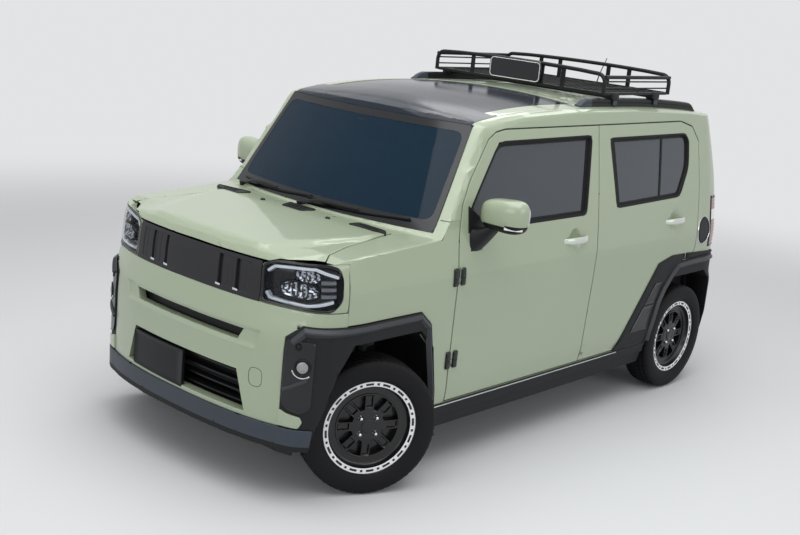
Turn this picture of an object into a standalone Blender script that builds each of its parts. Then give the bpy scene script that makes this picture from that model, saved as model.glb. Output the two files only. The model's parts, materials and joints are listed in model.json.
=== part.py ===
"""Kei car: a small boxy five-door with a roof basket, as separate pieces in their closed places.

Metres, +Z up. The nose points to -Y and the car's left side is at +X. The origin lies on the ground
under the middle of the length and of the width.
"""
import math

import bmesh
import bpy
import numpy as np
from mathutils import Matrix, Vector

# Overall size
LENGTH = 3.395
WIDTH = 1.475
HEIGHT = 1.630
WHEELBASE = 2.460
FRONT_AXLE_Y = -1.2025
GROUND_CLEARANCE = 0.200

# Body widths
BODY_HALF_WIDTH = 0.729
SHOULDER_Z = 0.985
GREENHOUSE_TOP_Z = 1.515
GREENHOUSE_TOP_HALF_WIDTH = 0.634

# Wheels
TYRE_RADIUS = 0.298
TYRE_WIDTH = 0.165
RIM_RADIUS = 0.2085
WHEEL_FACE_X = 0.735
SPOKES = 12
KINGPIN_X = 0.645
STEER_AT_REST = -26.2

# Walls and gaps
SKIN = 0.032
DOOR_THICKNESS = 0.090
PILLAR_THICKNESS = 0.062
ROOF_THICKNESS = 0.035
TAILGATE_THICKNESS = 0.085
FLOOR_THICKNESS = 0.100
SHUT_GAP = 0.006
FLANGE = 0.045
SEAT_GAP = 0.0003
WELD = 0.00002
FLAT_ANGLE = math.radians(0.05)
GLASS_THICKNESS = 0.006
GLASS_DEPTH = 0.014
CLADDING_PROUD = WIDTH / 2 - BODY_HALF_WIDTH
CLADDING_DEPTH = 0.020
BUMPER_THICKNESS = 0.045
FIREWALL_Y = -0.905
FIREWALL_THICKNESS = 0.060

# Front face and rear face
NOSE_Y = -LENGTH / 2
TAIL_Y = LENGTH / 2
BELT_Z = 1.090
BUMPER_TOP_Z = 0.826
GRILLE_TOP_Z = 0.990
GRILLE_HALF_WIDTH = 0.400
REAR_BUMPER_TOP_Z = 0.612
LIP_PROUD = 0.010

# Bonnet and windscreen
BONNET_FRONT_Z = 1.028
BONNET_REAR_Z = 1.066
GLASS_BASE_Y = -0.980
GLASS_BASE_Z = 1.077
GLASS_SLOPE = 1.486
GLASS_BOW = 0.223
COWL_Y = -1.010

for old in list(bpy.data.objects):
    bpy.data.objects.remove(old, do_unlink=True)

REAR_AXLE_Y = FRONT_AXLE_Y + WHEELBASE
CABIN_FLOOR_Z = GROUND_CLEARANCE + FLOOR_THICKNESS


def material(name, colour, roughness, metallic=0.0, alpha=1.0):
    """A plain Principled material in the piece's own colour."""
    made = bpy.data.materials.get(name) or bpy.data.materials.new(name)
    made.use_nodes = True
    shader = made.node_tree.nodes["Principled BSDF"]
    shader.inputs["Base Color"].default_value = (*colour, 1.0)
    shader.inputs["Roughness"].default_value = roughness
    shader.inputs["Metallic"].default_value = metallic
    shader.inputs["Alpha"].default_value = alpha
    made.diffuse_color = (*colour, alpha)
    return made


GREEN = material("green_paint", (0.50, 0.56, 0.40), 0.32)
GLOSS_BLACK = material("gloss_black", (0.015, 0.018, 0.025), 0.10)
DARK_PLASTIC = material("dark_plastic", (0.045, 0.047, 0.050), 0.65)
SLATE = material("slate_garnish", (0.10, 0.12, 0.15), 0.45)
GLASS = material("tinted_glass", (0.06, 0.08, 0.09), 0.05, alpha=0.45)
LAMP = material("lamp_lens", (0.35, 0.38, 0.42), 0.08, alpha=0.8)
STEEL = material("under_steel", (0.08, 0.08, 0.085), 0.6, metallic=0.6)
FABRIC = material("seat_fabric", (0.06, 0.06, 0.065), 0.9)
RUBBER = material("tyre_rubber", (0.02, 0.02, 0.021), 0.85)
RIM_BLACK = material("rim_black", (0.02, 0.02, 0.022), 0.3, metallic=0.4)


def mesh_object(name, verts, faces, finish):
    """A closed mesh with its faces turned outwards."""
    mesh = bpy.data.meshes.new(name)
    mesh.from_pydata([tuple(v) for v in verts], [], [tuple(f) for f in faces])
    shape = bmesh.new()
    shape.from_mesh(mesh)
    bmesh.ops.remove_doubles(shape, verts=shape.verts, dist=1e-6)
    bmesh.ops.recalc_face_normals(shape, faces=shape.faces)
    shape.to_mesh(mesh)
    shape.free()
    mesh.materials.append(finish)
    made = bpy.data.objects.new(name, mesh)
    bpy.context.scene.collection.objects.link(made)
    return made


def loft(name, rings, finish=GREEN, closed_path=False):
    """Skin a list of equal closed rings, capped at both ends unless the path is closed."""
    rings = [np.asarray(ring, float) for ring in rings]
    count = len(rings[0])
    verts = np.concatenate(rings)
    faces = []
    spans = len(rings) if closed_path else len(rings) - 1
    for i in range(spans):
        a, b = i * count, ((i + 1) % len(rings)) * count
        for j in range(count):
            k = (j + 1) % count
            faces.append((a + j, a + k, b + k, b + j))
    if not closed_path:
        faces.append(tuple(range(count))[::-1])
        faces.append(tuple(range((len(rings) - 1) * count, len(rings) * count)))
    return mesh_object(name, verts, faces, finish)


def prism(name, outline, axis, low, high, finish=GREEN):
    """Extrude an outline along X (points are y, z), Y (points are x, z) or Z (points are x, y)."""
    place = {"X": lambda a, b, t: (t, a, b), "Y": lambda a, b, t: (a, t, b), "Z": lambda a, b, t: (a, b, t)}
    return loft(name, [[place[axis](a, b, t) for a, b in outline] for t in (low, high)], finish)


def box(name, low, high, finish=GREEN):
    """An upright block between two corners."""
    outline = [(low[0], low[1]), (high[0], low[1]), (high[0], high[1]), (low[0], high[1])]
    return prism(name, outline, "Z", low[2], high[2], finish)


def rod(name, start, end, radius, sides=12, finish=STEEL):
    """A round bar between two points."""
    start, end = Vector(start), Vector(end)
    along = (end - start).normalized()
    across = along.orthogonal().normalized()
    other = along.cross(across)
    rings = [[at + radius * (math.cos(t) * across + math.sin(t) * other)
              for t in np.arange(sides) * 2 * math.pi / sides] for at in (start, end)]
    return loft(name, rings, finish)


def triangulated(shape):
    """Split every face into triangles, so that warped quads are read in one way only."""
    mesh = bmesh.new()
    mesh.from_mesh(shape.data)
    bmesh.ops.triangulate(mesh, faces=mesh.faces)
    mesh.to_mesh(shape.data)
    mesh.free()
    return shape


def bake(shape):
    """Replace the object's mesh by its evaluated one and drop the modifiers."""
    graph = bpy.context.evaluated_depsgraph_get()
    mesh = bpy.data.meshes.new_from_object(shape.evaluated_get(graph))
    shape.modifiers.clear()
    tidy = bmesh.new()
    tidy.from_mesh(mesh)
    bmesh.ops.remove_doubles(tidy, verts=tidy.verts, dist=WELD)
    bmesh.ops.dissolve_degenerate(tidy, edges=tidy.edges, dist=WELD)
    tidy.to_mesh(mesh)
    tidy.free()
    shape.data = mesh
    return shape


def combine(shape, tool, operation, keep_tool=False):
    """Apply one exact boolean to the shape; the tool goes unless it is used again."""
    step = shape.modifiers.new("boolean", "BOOLEAN")
    step.object = tool
    step.operation = operation
    step.solver = "EXACT"
    bake(shape)
    if not keep_tool:
        bpy.data.objects.remove(tool, do_unlink=True)
    return shape


def cut(shape, tool, keep_tool=False):
    return combine(shape, tool, "DIFFERENCE", keep_tool)


def keep_inside(shape, tool, keep_tool=False):
    return combine(shape, tool, "INTERSECT", keep_tool)


def join(shape, tool, keep_tool=False):
    return combine(shape, tool, "UNION", keep_tool)


def copy(shape, name, finish=None):
    made = shape.copy()
    made.data = shape.data.copy()
    made.name = name
    bpy.context.scene.collection.objects.link(made)
    if finish:
        made.data.materials.clear()
        made.data.materials.append(finish)
    return made


def discard(*shapes):
    for shape in shapes:
        bpy.data.objects.remove(shape, do_unlink=True)


def transformed(shape, matrix):
    """Move the mesh itself by a matrix."""
    shape.data.transform(matrix)
    if matrix.determinant() < 0:
        shape.data.flip_normals()
    return shape


def mirrored(shape, name):
    """The same piece for the other side of the car."""
    return transformed(copy(shape, name), Matrix.Scale(-1.0, 4, Vector((1, 0, 0))))


def grown(outline, distance):
    """Move each side of a closed outline outwards by a distance."""
    points = np.asarray(outline, float)
    after = np.roll(points, -1, axis=0)
    area = np.sum(points[:, 0] * after[:, 1] - after[:, 0] * points[:, 1])
    sides = after - points
    normals = np.stack([sides[:, 1], -sides[:, 0]], axis=1)
    normals = normals / np.linalg.norm(normals, axis=1)[:, None] * np.sign(area)
    before = np.roll(normals, 1, axis=0)
    turn = 1.0 + np.sum(before * normals, axis=1)
    return points + distance * (before + normals) / np.maximum(turn, 0.35)[:, None]


# Body envelope: the outside of the closed car, and the same form set inwards for inner faces

WIDTH_Z = (0.15, 0.30, 0.42, 0.88, SHOULDER_Z, GREENHOUSE_TOP_Z, 1.75)
WIDTH_DROP = (0.040, 0.012, 0.0, 0.0, 0.012, BODY_HALF_WIDTH - GREENHOUSE_TOP_HALF_WIDTH, 0.135)
NOSE_Z = (0.15, 0.25, 0.56, 0.70, 0.83, 1.00, 1.06)
NOSE_BACK = (0.022, LIP_PROUD, LIP_PROUD, 0.014, 0.040, 0.060, 0.085)
TAIL_Z = (0.15, 0.30, 0.58, 0.66, 0.90, 1.15, 1.52, 1.75)
TAIL_BACK = (0.026, 0.0, 0.0, 0.036, 0.040, 0.052, 0.150, 0.230)
LEVELS = (0.15, 0.30, 0.42, 0.60, 0.70, 0.83, 0.90, SHOULDER_Z, 1.08, 1.20, 1.35, GREENHOUSE_TOP_Z, 1.75)
SIDE_STATIONS = (-1.22, -0.92, -0.55, -0.15, 0.25, 0.70, 1.14)
NOSE_CURVE = (0.109, 0.341)
TAIL_CURVE = 0.060
SIDE_TAPER = 0.006


def plan_half(z, side, front, rear):
    """Half outline seen from above at height z, from the nose's middle round to the tail's middle."""
    width = BODY_HALF_WIDTH - np.interp(z, WIDTH_Z, WIDTH_DROP) - side
    nose = NOSE_Y + np.interp(z, NOSE_Z, NOSE_BACK) + front
    tail = TAIL_Y - np.interp(z, TAIL_Z, TAIL_BACK) - rear

    def nose_line(x):
        return nose + NOSE_CURVE[0] * x ** 2 + NOSE_CURVE[1] * x ** 4

    def tail_line(x):
        return tail - TAIL_CURVE * x ** 2

    def taper(y):
        return width - SIDE_TAPER * (y / 1.3) ** 2

    turn_in = width - 0.085
    corner = [np.array((turn_in, nose_line(turn_in))), None, np.array((taper(-1.36), -1.36))]
    corner[1] = np.array((width - 0.016, nose_line(turn_in) + 0.045))
    points = [(share * turn_in, nose_line(share * turn_in)) for share in (0.0, 0.35, 0.65, 0.85)]
    for t in (0.0, 0.25, 0.5, 0.75, 1.0):
        points.append(tuple((1 - t) ** 2 * corner[0] + 2 * t * (1 - t) * corner[1] + t * t * corner[2]))
    points += [(taper(y), y) for y in SIDE_STATIONS]
    turn_out = width - 0.090
    start = np.array((taper(1.40), min(1.40, tail - 0.16)))
    corner = [start, np.array((width - 0.004, tail_line(turn_out))), np.array((turn_out, tail_line(turn_out)))]
    for t in (0.0, 0.3, 0.55, 0.8, 1.0):
        points.append(tuple((1 - t) ** 2 * corner[0] + 2 * t * (1 - t) * corner[1] + t * t * corner[2]))
    points += [(share * turn_out, tail_line(share * turn_out)) for share in (0.55, 0.0)]
    return points


def edge_drop(x, edge, radius):
    """Fall of a rounded top edge at a distance x from the middle plane."""
    into = min(max(abs(x) - (edge - radius), 0.0), radius)
    return radius - math.sqrt(radius ** 2 - into ** 2) + 3.0 * max(abs(x) - edge, 0.0)


def bonnet_top(x, y):
    rise = (y - (-1.60)) / (COWL_Y - (-1.60))
    height = BONNET_FRONT_Z + (BONNET_REAR_Z - BONNET_FRONT_Z) * rise
    nose = NOSE_Y + 0.064 + NOSE_CURVE[0] * x ** 2 + NOSE_CURVE[1] * x ** 4
    into = min(max(nose + 0.045 - y, 0.0), 0.045)
    nose_round = 0.045 - math.sqrt(0.045 ** 2 - into ** 2)
    crown = 0.012 * (1.0 - (x / 0.62) ** 2)
    return height + crown - nose_round - edge_drop(x, 0.722, 0.030)


def glass_top(x, y):
    return GLASS_BASE_Z + GLASS_SLOPE * (y - GLASS_BASE_Y - GLASS_BOW * x ** 2)


def roof_top(x, y):
    along = np.interp(y, (-0.70, -0.55, -0.30, 0.15, 0.70, 1.25, 1.60),
                      (1.545, 1.580, 1.612, HEIGHT, 1.627, 1.604, 1.572))
    crown = 0.035 * (x / 0.58) ** 2
    return along - crown - edge_drop(x, 0.640, 0.045)


def top_height(x, y):
    return max(bonnet_top(x, y), min(glass_top(x, y), roof_top(x, y)))


TOP_COLUMNS = (0.0, 0.18, 0.36, 0.50, 0.575, 0.60, 0.62, 0.64, 0.67, 0.69, 0.705, 0.722, 0.80)
TOP_ROWS = ((-1.80, 0), (-1.634, 0), (-1.62, 0), (-1.60, 0), (-1.575, 0), (-1.45, 0), (-1.25, 0), (-1.08, 0.6),
            (-0.99, 1), (-0.95, 1), (-0.80, 1), (-0.68, 1), (-0.655, 1), (-0.60, 1), (-0.50, 0.8), (-0.30, 0.3),
            (0.15, 0), (0.70, 0), (1.25, 0), (1.50, 0), (1.80, 0))


def envelope(name, side_low=0.0, side_high=0.0, top=0.0, front=0.0, rear=0.0, floor=GROUND_CLEARANCE):
    """The body's outside, set inwards by a distance at its sides, top, front and rear."""
    rings = []
    for z in LEVELS:
        side = np.interp(z, (SHOULDER_Z - 0.04, BELT_Z), (side_low, side_high))
        half = plan_half(z, side, front, rear)
        other = [(-x, y) for x, y in half[-2:0:-1]]
        rings.append([(x, y, z) for x, y in half + other])
    walls = triangulated(loft(name, rings))
    columns = [-x for x in TOP_COLUMNS[:0:-1]] + list(TOP_COLUMNS)
    upper, lower = [], []
    for y, bow in TOP_ROWS:
        for x in columns:
            at = y + bow * GLASS_BOW * x ** 2
            upper.append((x, at, top_height(x, at) - top))
            lower.append((x, at, floor))
    wide, deep = len(columns), len(TOP_ROWS)
    verts = upper + lower
    below = wide * deep
    faces = []
    for i in range(deep - 1):
        for j in range(wide - 1):
            a = i * wide + j
            faces.append((a, a + 1, a + wide + 1, a + wide))
            faces.append((below + a, below + a + wide, below + a + wide + 1, below + a + 1))
    for i in range(deep - 1):
        for j in (0, wide - 1):
            a, b = i * wide + j, (i + 1) * wide + j
            faces.append((a, b, below + b, below + a))
    for j in range(wide - 1):
        for i in (0, deep - 1):
            a, b = i * wide + j, i * wide + j + 1
            faces.append((a, b, below + b, below + a))
    lid = triangulated(mesh_object(name + "_lid", verts, faces, GREEN))
    return keep_inside(walls, lid)


outer = envelope("outer")
# Shut lines and openings, as outlines in side view (y, z), front view (x, z) or plan

DOOR_BOTTOM_Z = 0.326
FRONT_DOOR = ((-0.768, DOOR_BOTTOM_Z), (-0.773, 0.447), (-0.768, 0.859), (-0.764, 1.073), (-0.741, 1.203),
              (-0.686, 1.306), (-0.610, 1.401), (-0.554, 1.473), (-0.498, 1.504), (-0.429, GREENHOUSE_TOP_Z),
              (0.326, GREENHOUSE_TOP_Z), (0.3195, 1.030), (0.307, 0.739), (0.282, 0.380), (0.275, DOOR_BOTTOM_Z))
REAR_DOOR_REAR = ((1.151, GREENHOUSE_TOP_Z), (1.258, 1.485), (1.335, 1.399), (1.355, 1.156), (1.350, 1.000),
                  (1.342, 0.811), (1.320, 0.762), (1.164, 0.755), (1.103, 0.713), (1.024, 0.630), (0.975, 0.549),
                  (0.920, 0.383), (0.917, DOOR_BOTTOM_Z))
FRONT_WINDOW = ((-0.479, 1.462), (0.266, 1.468), (0.213, 1.091), (-0.690, 1.088), (-0.700, 1.160),
                (-0.648, 1.238))
REAR_WINDOW = ((0.431, 1.449), (1.195, 1.450), (1.232, 1.410), (1.229, 1.268), (1.136, 1.117), (0.493, 1.103))
FRONT_ARCH = ((-1.560, 0.10), (-1.535, 0.34), (-1.460, 0.572), (-1.387, 0.688), (-0.990, 0.688), (-0.905, 0.600),
              (-0.866, 0.381), (-0.860, 0.10))
REAR_ARCH = ((0.920, 0.10), (0.930, 0.30), (1.035, 0.580), (1.120, 0.663), (1.495, 0.663), (1.578, 0.608),
             (1.630, 0.305), (1.632, 0.10))
CLADDING_FOOT_Z = 0.262
FRONT_CLADDING = ((-1.760, CLADDING_FOOT_Z), (-1.760, 0.716), (-1.612, 0.716), (-1.575, 0.772), (-1.420, 0.768),
                  (-0.995, 0.770), (-0.927, 0.711), (-0.857, 0.379), (-0.857, CLADDING_FOOT_Z))
SIDE_CLADDING = ((-0.853, CLADDING_FOOT_Z), (-0.853, 0.3185), (0.9235, 0.3185), (0.9265, 0.381), (0.981, 0.546),
                 (1.029, 0.624), (1.107, 0.706), (1.166, 0.748), (1.320, 0.755), (1.629, 0.755), (1.672, 0.560),
                 (1.690, CLADDING_FOOT_Z))
HEADLAMP_REAR_Y = -1.425
HEADLAMP_TOP_Z = 1.020
FENDER_NOSE_Y = HEADLAMP_REAR_Y + SEAT_GAP
FENDER_STEP_Z = HEADLAMP_TOP_Z + SEAT_GAP
FENDER_SIDE = ((FENDER_NOSE_Y, 0.7725), (-0.993, 0.7725), (-0.9245, 0.713), (-0.8545, 0.379), (-0.8545, 0.3200),
               (-0.7740, 0.3200), (-0.7790, 0.447), (-0.7740, 0.859), (-0.7700, 1.073), (-0.7640, 1.105),
               (-0.7640, 1.140), (-1.620, 1.140), (-1.620, FENDER_STEP_Z), (FENDER_NOSE_Y, FENDER_STEP_Z))
GLASS_APERTURE = ((-0.647, 1.086), (0.647, 1.086), (0.579, 1.530), (-0.579, 1.530))
TAILGATE_FOOT_Z = REAR_BUMPER_TOP_Z + SHUT_GAP
TAILGATE_FRONT_Y = 1.440
TAILGATE_OUTLINE = ((-0.600, TAILGATE_FOOT_Z), (0.600, TAILGATE_FOOT_Z), (0.612, 0.80), (0.600, 1.12),
                    (0.545, 1.510), (0.300, 1.528), (-0.300, 1.528), (-0.545, 1.510), (-0.600, 1.12), (-0.612, 0.80))
TAILGATE_AXIS = (1.545, 1.522)
REAR_GLASS = ((-0.500, 1.080), (0.500, 1.080), (0.455, 1.450), (-0.455, 1.450))
HEADLAMP = ((0.4035, 0.829), (0.4035, 0.981), (0.472, 1.006), (0.688, HEADLAMP_TOP_Z), (0.800, HEADLAMP_TOP_Z),
            (0.800, 0.829))
HEADLAMP_DEPTH = 0.080
ROOF_SPLIT_X = 0.568
ROOF_GLASS_FRONT_Y = -0.420
ROOF_GLASS_REAR_Y = 0.260
ROOF_GLASS_HALF_WIDTH = 0.500
BONNET_EDGE = ((-1.750, 0.700), (-1.546, 0.663), (-1.439, 0.589), (-1.293, 0.552), (-1.204, 0.545), (COWL_Y, 0.524))
WHEELHOUSE_INNER_X = 0.385
REAR_WHEELHOUSE_INNER_X = 0.540
WHEELHOUSE_WALL = 0.020
LOWER_OPENING = ((-0.395, 0.365), (0.395, 0.365), (0.343, 0.532), (-0.343, 0.532))
UPPER_SLOT = ((-0.330, 0.655), (0.330, 0.655), (0.357, 0.704), (-0.357, 0.704))
CORNER_SPLIT_X = 0.560
LIP_TOP_Z = 0.345
LIP_REAR_Y = -1.545
REAR_CORNER_X = 0.620
TAIL_LAMP_LOW = (0.622, 1.500, 0.800)
TAIL_LAMP_HIGH = (0.800, 1.750, 1.090)

BONNET_SKIN = 0.028
BACKING_OVERLAP = 0.012
ABOVE = 0.050
TUB_INSET = 0.036

skin_core = envelope("skin_core", SKIN, SKIN, BONNET_SKIN, SKIN, SKIN, 0.0)
shut_core = envelope("shut_core", SKIN + SHUT_GAP, SKIN + SHUT_GAP, BONNET_SKIN + SHUT_GAP, SKIN + SHUT_GAP,
                     SKIN + SHUT_GAP, 0.0)
cabin = envelope("cabin", DOOR_THICKNESS, PILLAR_THICKNESS, ROOF_THICKNESS, 0.10, TAILGATE_THICKNESS, CABIN_FLOOR_Z)
keep_inside(cabin, box("cabin_limits", (-1, FIREWALL_Y, 0), (1, 2, 2)))
engine_bay = keep_inside(copy(skin_core, "engine_bay"),
                         box("bay_limits", (-1, -2, 0), (1, FIREWALL_Y - FIREWALL_THICKNESS, 2)))
shell = cut(cut(copy(outer, "shell"), cabin, True), engine_bay)
skin = cut(copy(outer, "skin"), skin_core, True)
inner_layer = cut(envelope("inner_layer", SKIN - BACKING_OVERLAP, SKIN - BACKING_OVERLAP, BONNET_SKIN, SKIN,
                           SKIN - BACKING_OVERLAP, 0.0), cabin, True)
proud = envelope("proud", -CLADDING_PROUD, -CLADDING_PROUD, 0.0, 0.0, 0.0)
trim_core = envelope("trim_core", CLADDING_DEPTH, CLADDING_DEPTH, -ABOVE, BUMPER_THICKNESS, BUMPER_THICKNESS, 0.0)
trim_clear = envelope("trim_clear", CLADDING_DEPTH + SEAT_GAP, CLADDING_DEPTH + SEAT_GAP, -ABOVE,
                      BUMPER_THICKNESS + SEAT_GAP, BUMPER_THICKNESS + SEAT_GAP, 0.0)
trim_layer = cut(copy(proud, "trim_layer"), trim_core, True)
bumper_layer = cut(copy(outer, "bumper_layer"), trim_core, True)
tub_limit = envelope("tub_limit", TUB_INSET, TUB_INSET, ABOVE, BUMPER_THICKNESS + 0.01, BUMPER_THICKNESS + 0.01,
                     GROUND_CLEARANCE + 0.004)
pane_layer = cut(envelope("pane_layer", GLASS_DEPTH, GLASS_DEPTH, 0.003, 0.014, GLASS_DEPTH),
                 envelope("pane_core", GLASS_DEPTH + GLASS_THICKNESS, GLASS_DEPTH + GLASS_THICKNESS, 0.013, 0.020,
                          GLASS_DEPTH + GLASS_THICKNESS, 0.1))
lamp_layer = cut(copy(outer, "lamp_layer"), envelope("lamp_core", 0.06, 0.06, -ABOVE, HEADLAMP_DEPTH, 0.06, 0.1))
SIDE = (0.45, 0.90)


def side_prism(name, outline, distance=0.0, reach=SIDE):
    return prism(name, grown(outline, distance), "X", *reach)


def part_of(name, layer, tool, finish=GREEN):
    """The piece of a layer that lies inside a tool."""
    return keep_inside(copy(layer, name, finish), tool)


# Doors: an outer skin with its flange, an inner box, the window cut and the pane in it

REAR_DOOR = tuple((y + SHUT_GAP, z) for y, z in FRONT_DOOR[:9:-1]) + REAR_DOOR_REAR


def make_door(name, outline, window):
    """One left-hand door and its pane."""
    door = part_of(name, skin, side_prism("outline", outline))
    join(door, part_of("backing", inner_layer, side_prism("outline", outline, -FLANGE)))
    cut(door, side_prism("window", window))
    pane = part_of(name.replace("door", "door_glass"), pane_layer, side_prism("outline", window, -SEAT_GAP), GLASS)
    return door, pane


def squircle(name, centre, radii, power, finish=GREEN):
    """A rounded block: a sphere whose coordinates are raised to a power below one."""
    shape = bmesh.new()
    bmesh.ops.create_icosphere(shape, subdivisions=2, radius=1.0)
    for vert in shape.verts:
        vert.co = Vector([math.copysign(abs(c) ** power, c) * r + o for c, r, o in zip(vert.co, radii, centre)])
    mesh = bpy.data.meshes.new(name)
    shape.to_mesh(mesh)
    shape.free()
    mesh.materials.append(finish)
    made = bpy.data.objects.new(name, mesh)
    bpy.context.scene.collection.objects.link(made)
    return made


front_door, front_pane = make_door("front_door_left", FRONT_DOOR, FRONT_WINDOW)
rear_door, rear_pane = make_door("rear_door_left", REAR_DOOR, REAR_WINDOW)
MIRROR_FOOT = ((-0.690, 1.000), (-0.610, 1.000), (-0.590, 1.125), (-0.670, 1.150))
join(front_door, prism("mirror_foot", MIRROR_FOOT, "X", 0.690, 0.800))
join(front_door, squircle("mirror_head", (0.830, -0.615, 1.170), (0.095, 0.058, 0.064), 0.65))


def add_handle(door, y, z):
    """Pull handle that stands off the door skin."""
    outline = ((y - 0.085, z - 0.012), (y + 0.085, z - 0.012), (y + 0.085, z + 0.012), (y - 0.085, z + 0.012))
    join(door, prism("handle", outline, "X", 0.700, WIDTH / 2 - 0.001))


add_handle(front_door, 0.129, 0.973)
add_handle(rear_door, 1.096, 0.985)

# Door hinges: a pin of the door stands on a pin of its pillar, in a notch of the skin

FRONT_HINGE = (0.727, -0.760)
FRONT_HINGE_Z = (0.520, 0.897)
REAR_HINGE = (0.7287, 0.295)
REAR_HINGE_Z = (0.378,)
HINGE_NOTCH = 0.030
HINGE_PIN = 0.0065
HINGE_ROOT_X = 0.680


def hang_door(door, axis, heights, front_y, rear_y):
    """Notch the skin, hang the door's pins in it and give back the pillar's arms."""
    x, y = axis
    arms = []
    for z in heights:
        cut(door, box("notch", (0.60, front_y, z - HINGE_NOTCH), (1.0, rear_y, z + HINGE_NOTCH)))
        join(door, rod("pin", (x, y, z + SEAT_GAP / 2), (x, y, z + HINGE_NOTCH + 0.012), HINGE_PIN, 8))
        arm = box("arm", (HINGE_ROOT_X, y - 0.007, z - 0.022), (x, y + 0.007, z - 0.008))
        arms.append(join(arm, rod("pin", (x, y, z - 0.022), (x, y, z - SEAT_GAP / 2), HINGE_PIN, 8)))
    return arms


COVER_HEIGHT = 0.040
COVER_X = WIDTH / 2 - 0.0005
COVER_WALL = 0.0025


def hinge_cover(axis, z):
    """The door's half of a hinge cover: a shallow cap over the notch, open towards the pin."""
    y = axis[1]
    cap = box("cap", (axis[0], y - 0.005, z - COVER_HEIGHT), (COVER_X, y + 0.022, z + COVER_HEIGHT))
    return cut(cap, box("room", (0, y - 0.1, z - HINGE_NOTCH), (COVER_X - COVER_WALL, y + 0.1, z + HINGE_NOTCH)))


hinge_arms = hang_door(front_door, FRONT_HINGE, FRONT_HINGE_Z, -0.80, FRONT_HINGE[1] + 0.024)
hinge_arms += hang_door(rear_door, REAR_HINGE, REAR_HINGE_Z, 0.26, REAR_HINGE[1] + 0.024)

for z in FRONT_HINGE_Z:
    join(front_door, hinge_cover(FRONT_HINGE, z))

# Side frame: pillars, cant rail, sill and rear quarter, with the apertures stepped behind the door skins

side_frame = part_of("side_frame_left", shell,
                     box("limits", (REAR_WHEELHOUSE_INNER_X, FIREWALL_Y - FIREWALL_THICKNESS, 0), (1, 1.75, 2)))
glass_hole = prism("glass_hole", GLASS_APERTURE, "Y", -1.15, -0.40)
cut(side_frame, glass_hole, True)


def wheelhouse(host, arch, inner_x, outer_x, limits=None):
    """Join a tub round a wheel arch to its host, then open the arch through both."""
    tub = side_prism("tub", arch, WHEELHOUSE_WALL, (inner_x - WHEELHOUSE_WALL, outer_x))
    keep_inside(tub, tub_limit, True)
    if limits:
        keep_inside(tub, box("limits", *limits))
    join(host, tub)
    cut(host, side_prism("arch", arch, 0.0, (inner_x, 1.0)))


wheelhouse(side_frame, FRONT_ARCH, WHEELHOUSE_INNER_X, 0.690, ((0.55, FIREWALL_Y - 0.05, 0), (1, 1, 1)))
wheelhouse(side_frame, REAR_ARCH, REAR_WHEELHOUSE_INNER_X, 0.690, ((0.55, 0, 0), (1, 2, 1)))
keep_inside(side_frame, box("split", (ROOF_SPLIT_X + SEAT_GAP, -1, 0), (1, 2, 2)))
for outline in (FRONT_DOOR, REAR_DOOR):
    cut(side_frame, side_prism("aperture", outline, SHUT_GAP - FLANGE))
skin_slot = side_prism("skin_slot", FENDER_SIDE, SEAT_GAP)
for outline in (FRONT_DOOR, REAR_DOOR):
    join(skin_slot, side_prism("slot", outline, SHUT_GAP))
cut(skin_slot, shut_core, True)


def trim_room(name, sides):
    """Room for the claddings of the given sides (1 left, -1 right) and the rear bumper."""
    room = box(name, (-1, 1.40, 0), (1, 2, REAR_BUMPER_TOP_Z + SEAT_GAP))
    for side in sides:
        for outline, inner_x in ((FRONT_CLADDING, SIDE[0]), (SIDE_CLADDING, REAR_CORNER_X - SEAT_GAP)):
            join(room, side_prism("slot", outline, SEAT_GAP, sorted((side * inner_x, side * SIDE[1]))))
    return cut(room, trim_clear, True)


tailgate_slot = cut(prism("tailgate_slot", grown(TAILGATE_OUTLINE, SHUT_GAP), "Y", 1.2, 1.8), shut_core, True)
tailgate_aperture = prism("tailgate_aperture", grown(TAILGATE_OUTLINE, SHUT_GAP - FLANGE), "Y", 1.2, 1.8)
tail_lamp_slot = box("tail_lamp_slot", [c - SEAT_GAP for c in TAIL_LAMP_LOW], [c + SEAT_GAP for c in TAIL_LAMP_HIGH])
cut(tail_lamp_slot, envelope("lamp_slot_core", 0.06 + SEAT_GAP, 0.06 + SEAT_GAP, -ABOVE, 0.1, 0.06 + SEAT_GAP, 0.1))
for tool in (skin_slot, trim_room("left_room", (1,)), tail_lamp_slot):
    cut(side_frame, tool)
for tool in (tailgate_slot, tailgate_aperture):
    cut(side_frame, tool, True)
for arm in hinge_arms:
    join(side_frame, arm)

# Fender, claddings, lamps on the left

bonnet_edge_side = [(x, y) for y, x in BONNET_EDGE]
outboard = prism("outboard", [(x + SHUT_GAP / 2, y) for x, y in bonnet_edge_side] +
                 [(BONNET_EDGE[-1][1] + SHUT_GAP / 2, -0.5), (1.0, -0.5), (1.0, -1.75)], "Z", 0, 2)
fender = part_of("fender_left", skin, side_prism("outline", FENDER_SIDE))
keep_inside(fender, outboard)
cut(fender, glass_hole, True)
for z in FRONT_HINGE_Z:
    join(fender, box("cover", (0.722, FRONT_HINGE[1] - 0.042, z - COVER_HEIGHT),
                     (COVER_X, FRONT_HINGE[1] - 0.017, z + COVER_HEIGHT)))

corner_cladding = part_of("corner_cladding_left", trim_layer,
                          side_prism("outline", FRONT_CLADDING, 0.0, (CORNER_SPLIT_X, 1.0)), DARK_PLASTIC)
cut(corner_cladding, side_prism("arch", FRONT_ARCH, 0.0, (0.3, 1.0)))
cut(corner_cladding, box("lip_room", (0, -2, 0), (1, LIP_REAR_Y + SEAT_GAP, LIP_TOP_Z + SEAT_GAP)))
side_cladding = part_of("side_cladding_left", trim_layer,
                        side_prism("outline", SIDE_CLADDING, 0.0, (REAR_CORNER_X, SIDE[1])), DARK_PLASTIC)
cut(side_cladding, side_prism("arch", REAR_ARCH, 0.0, (0.3, 1.0)))

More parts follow.
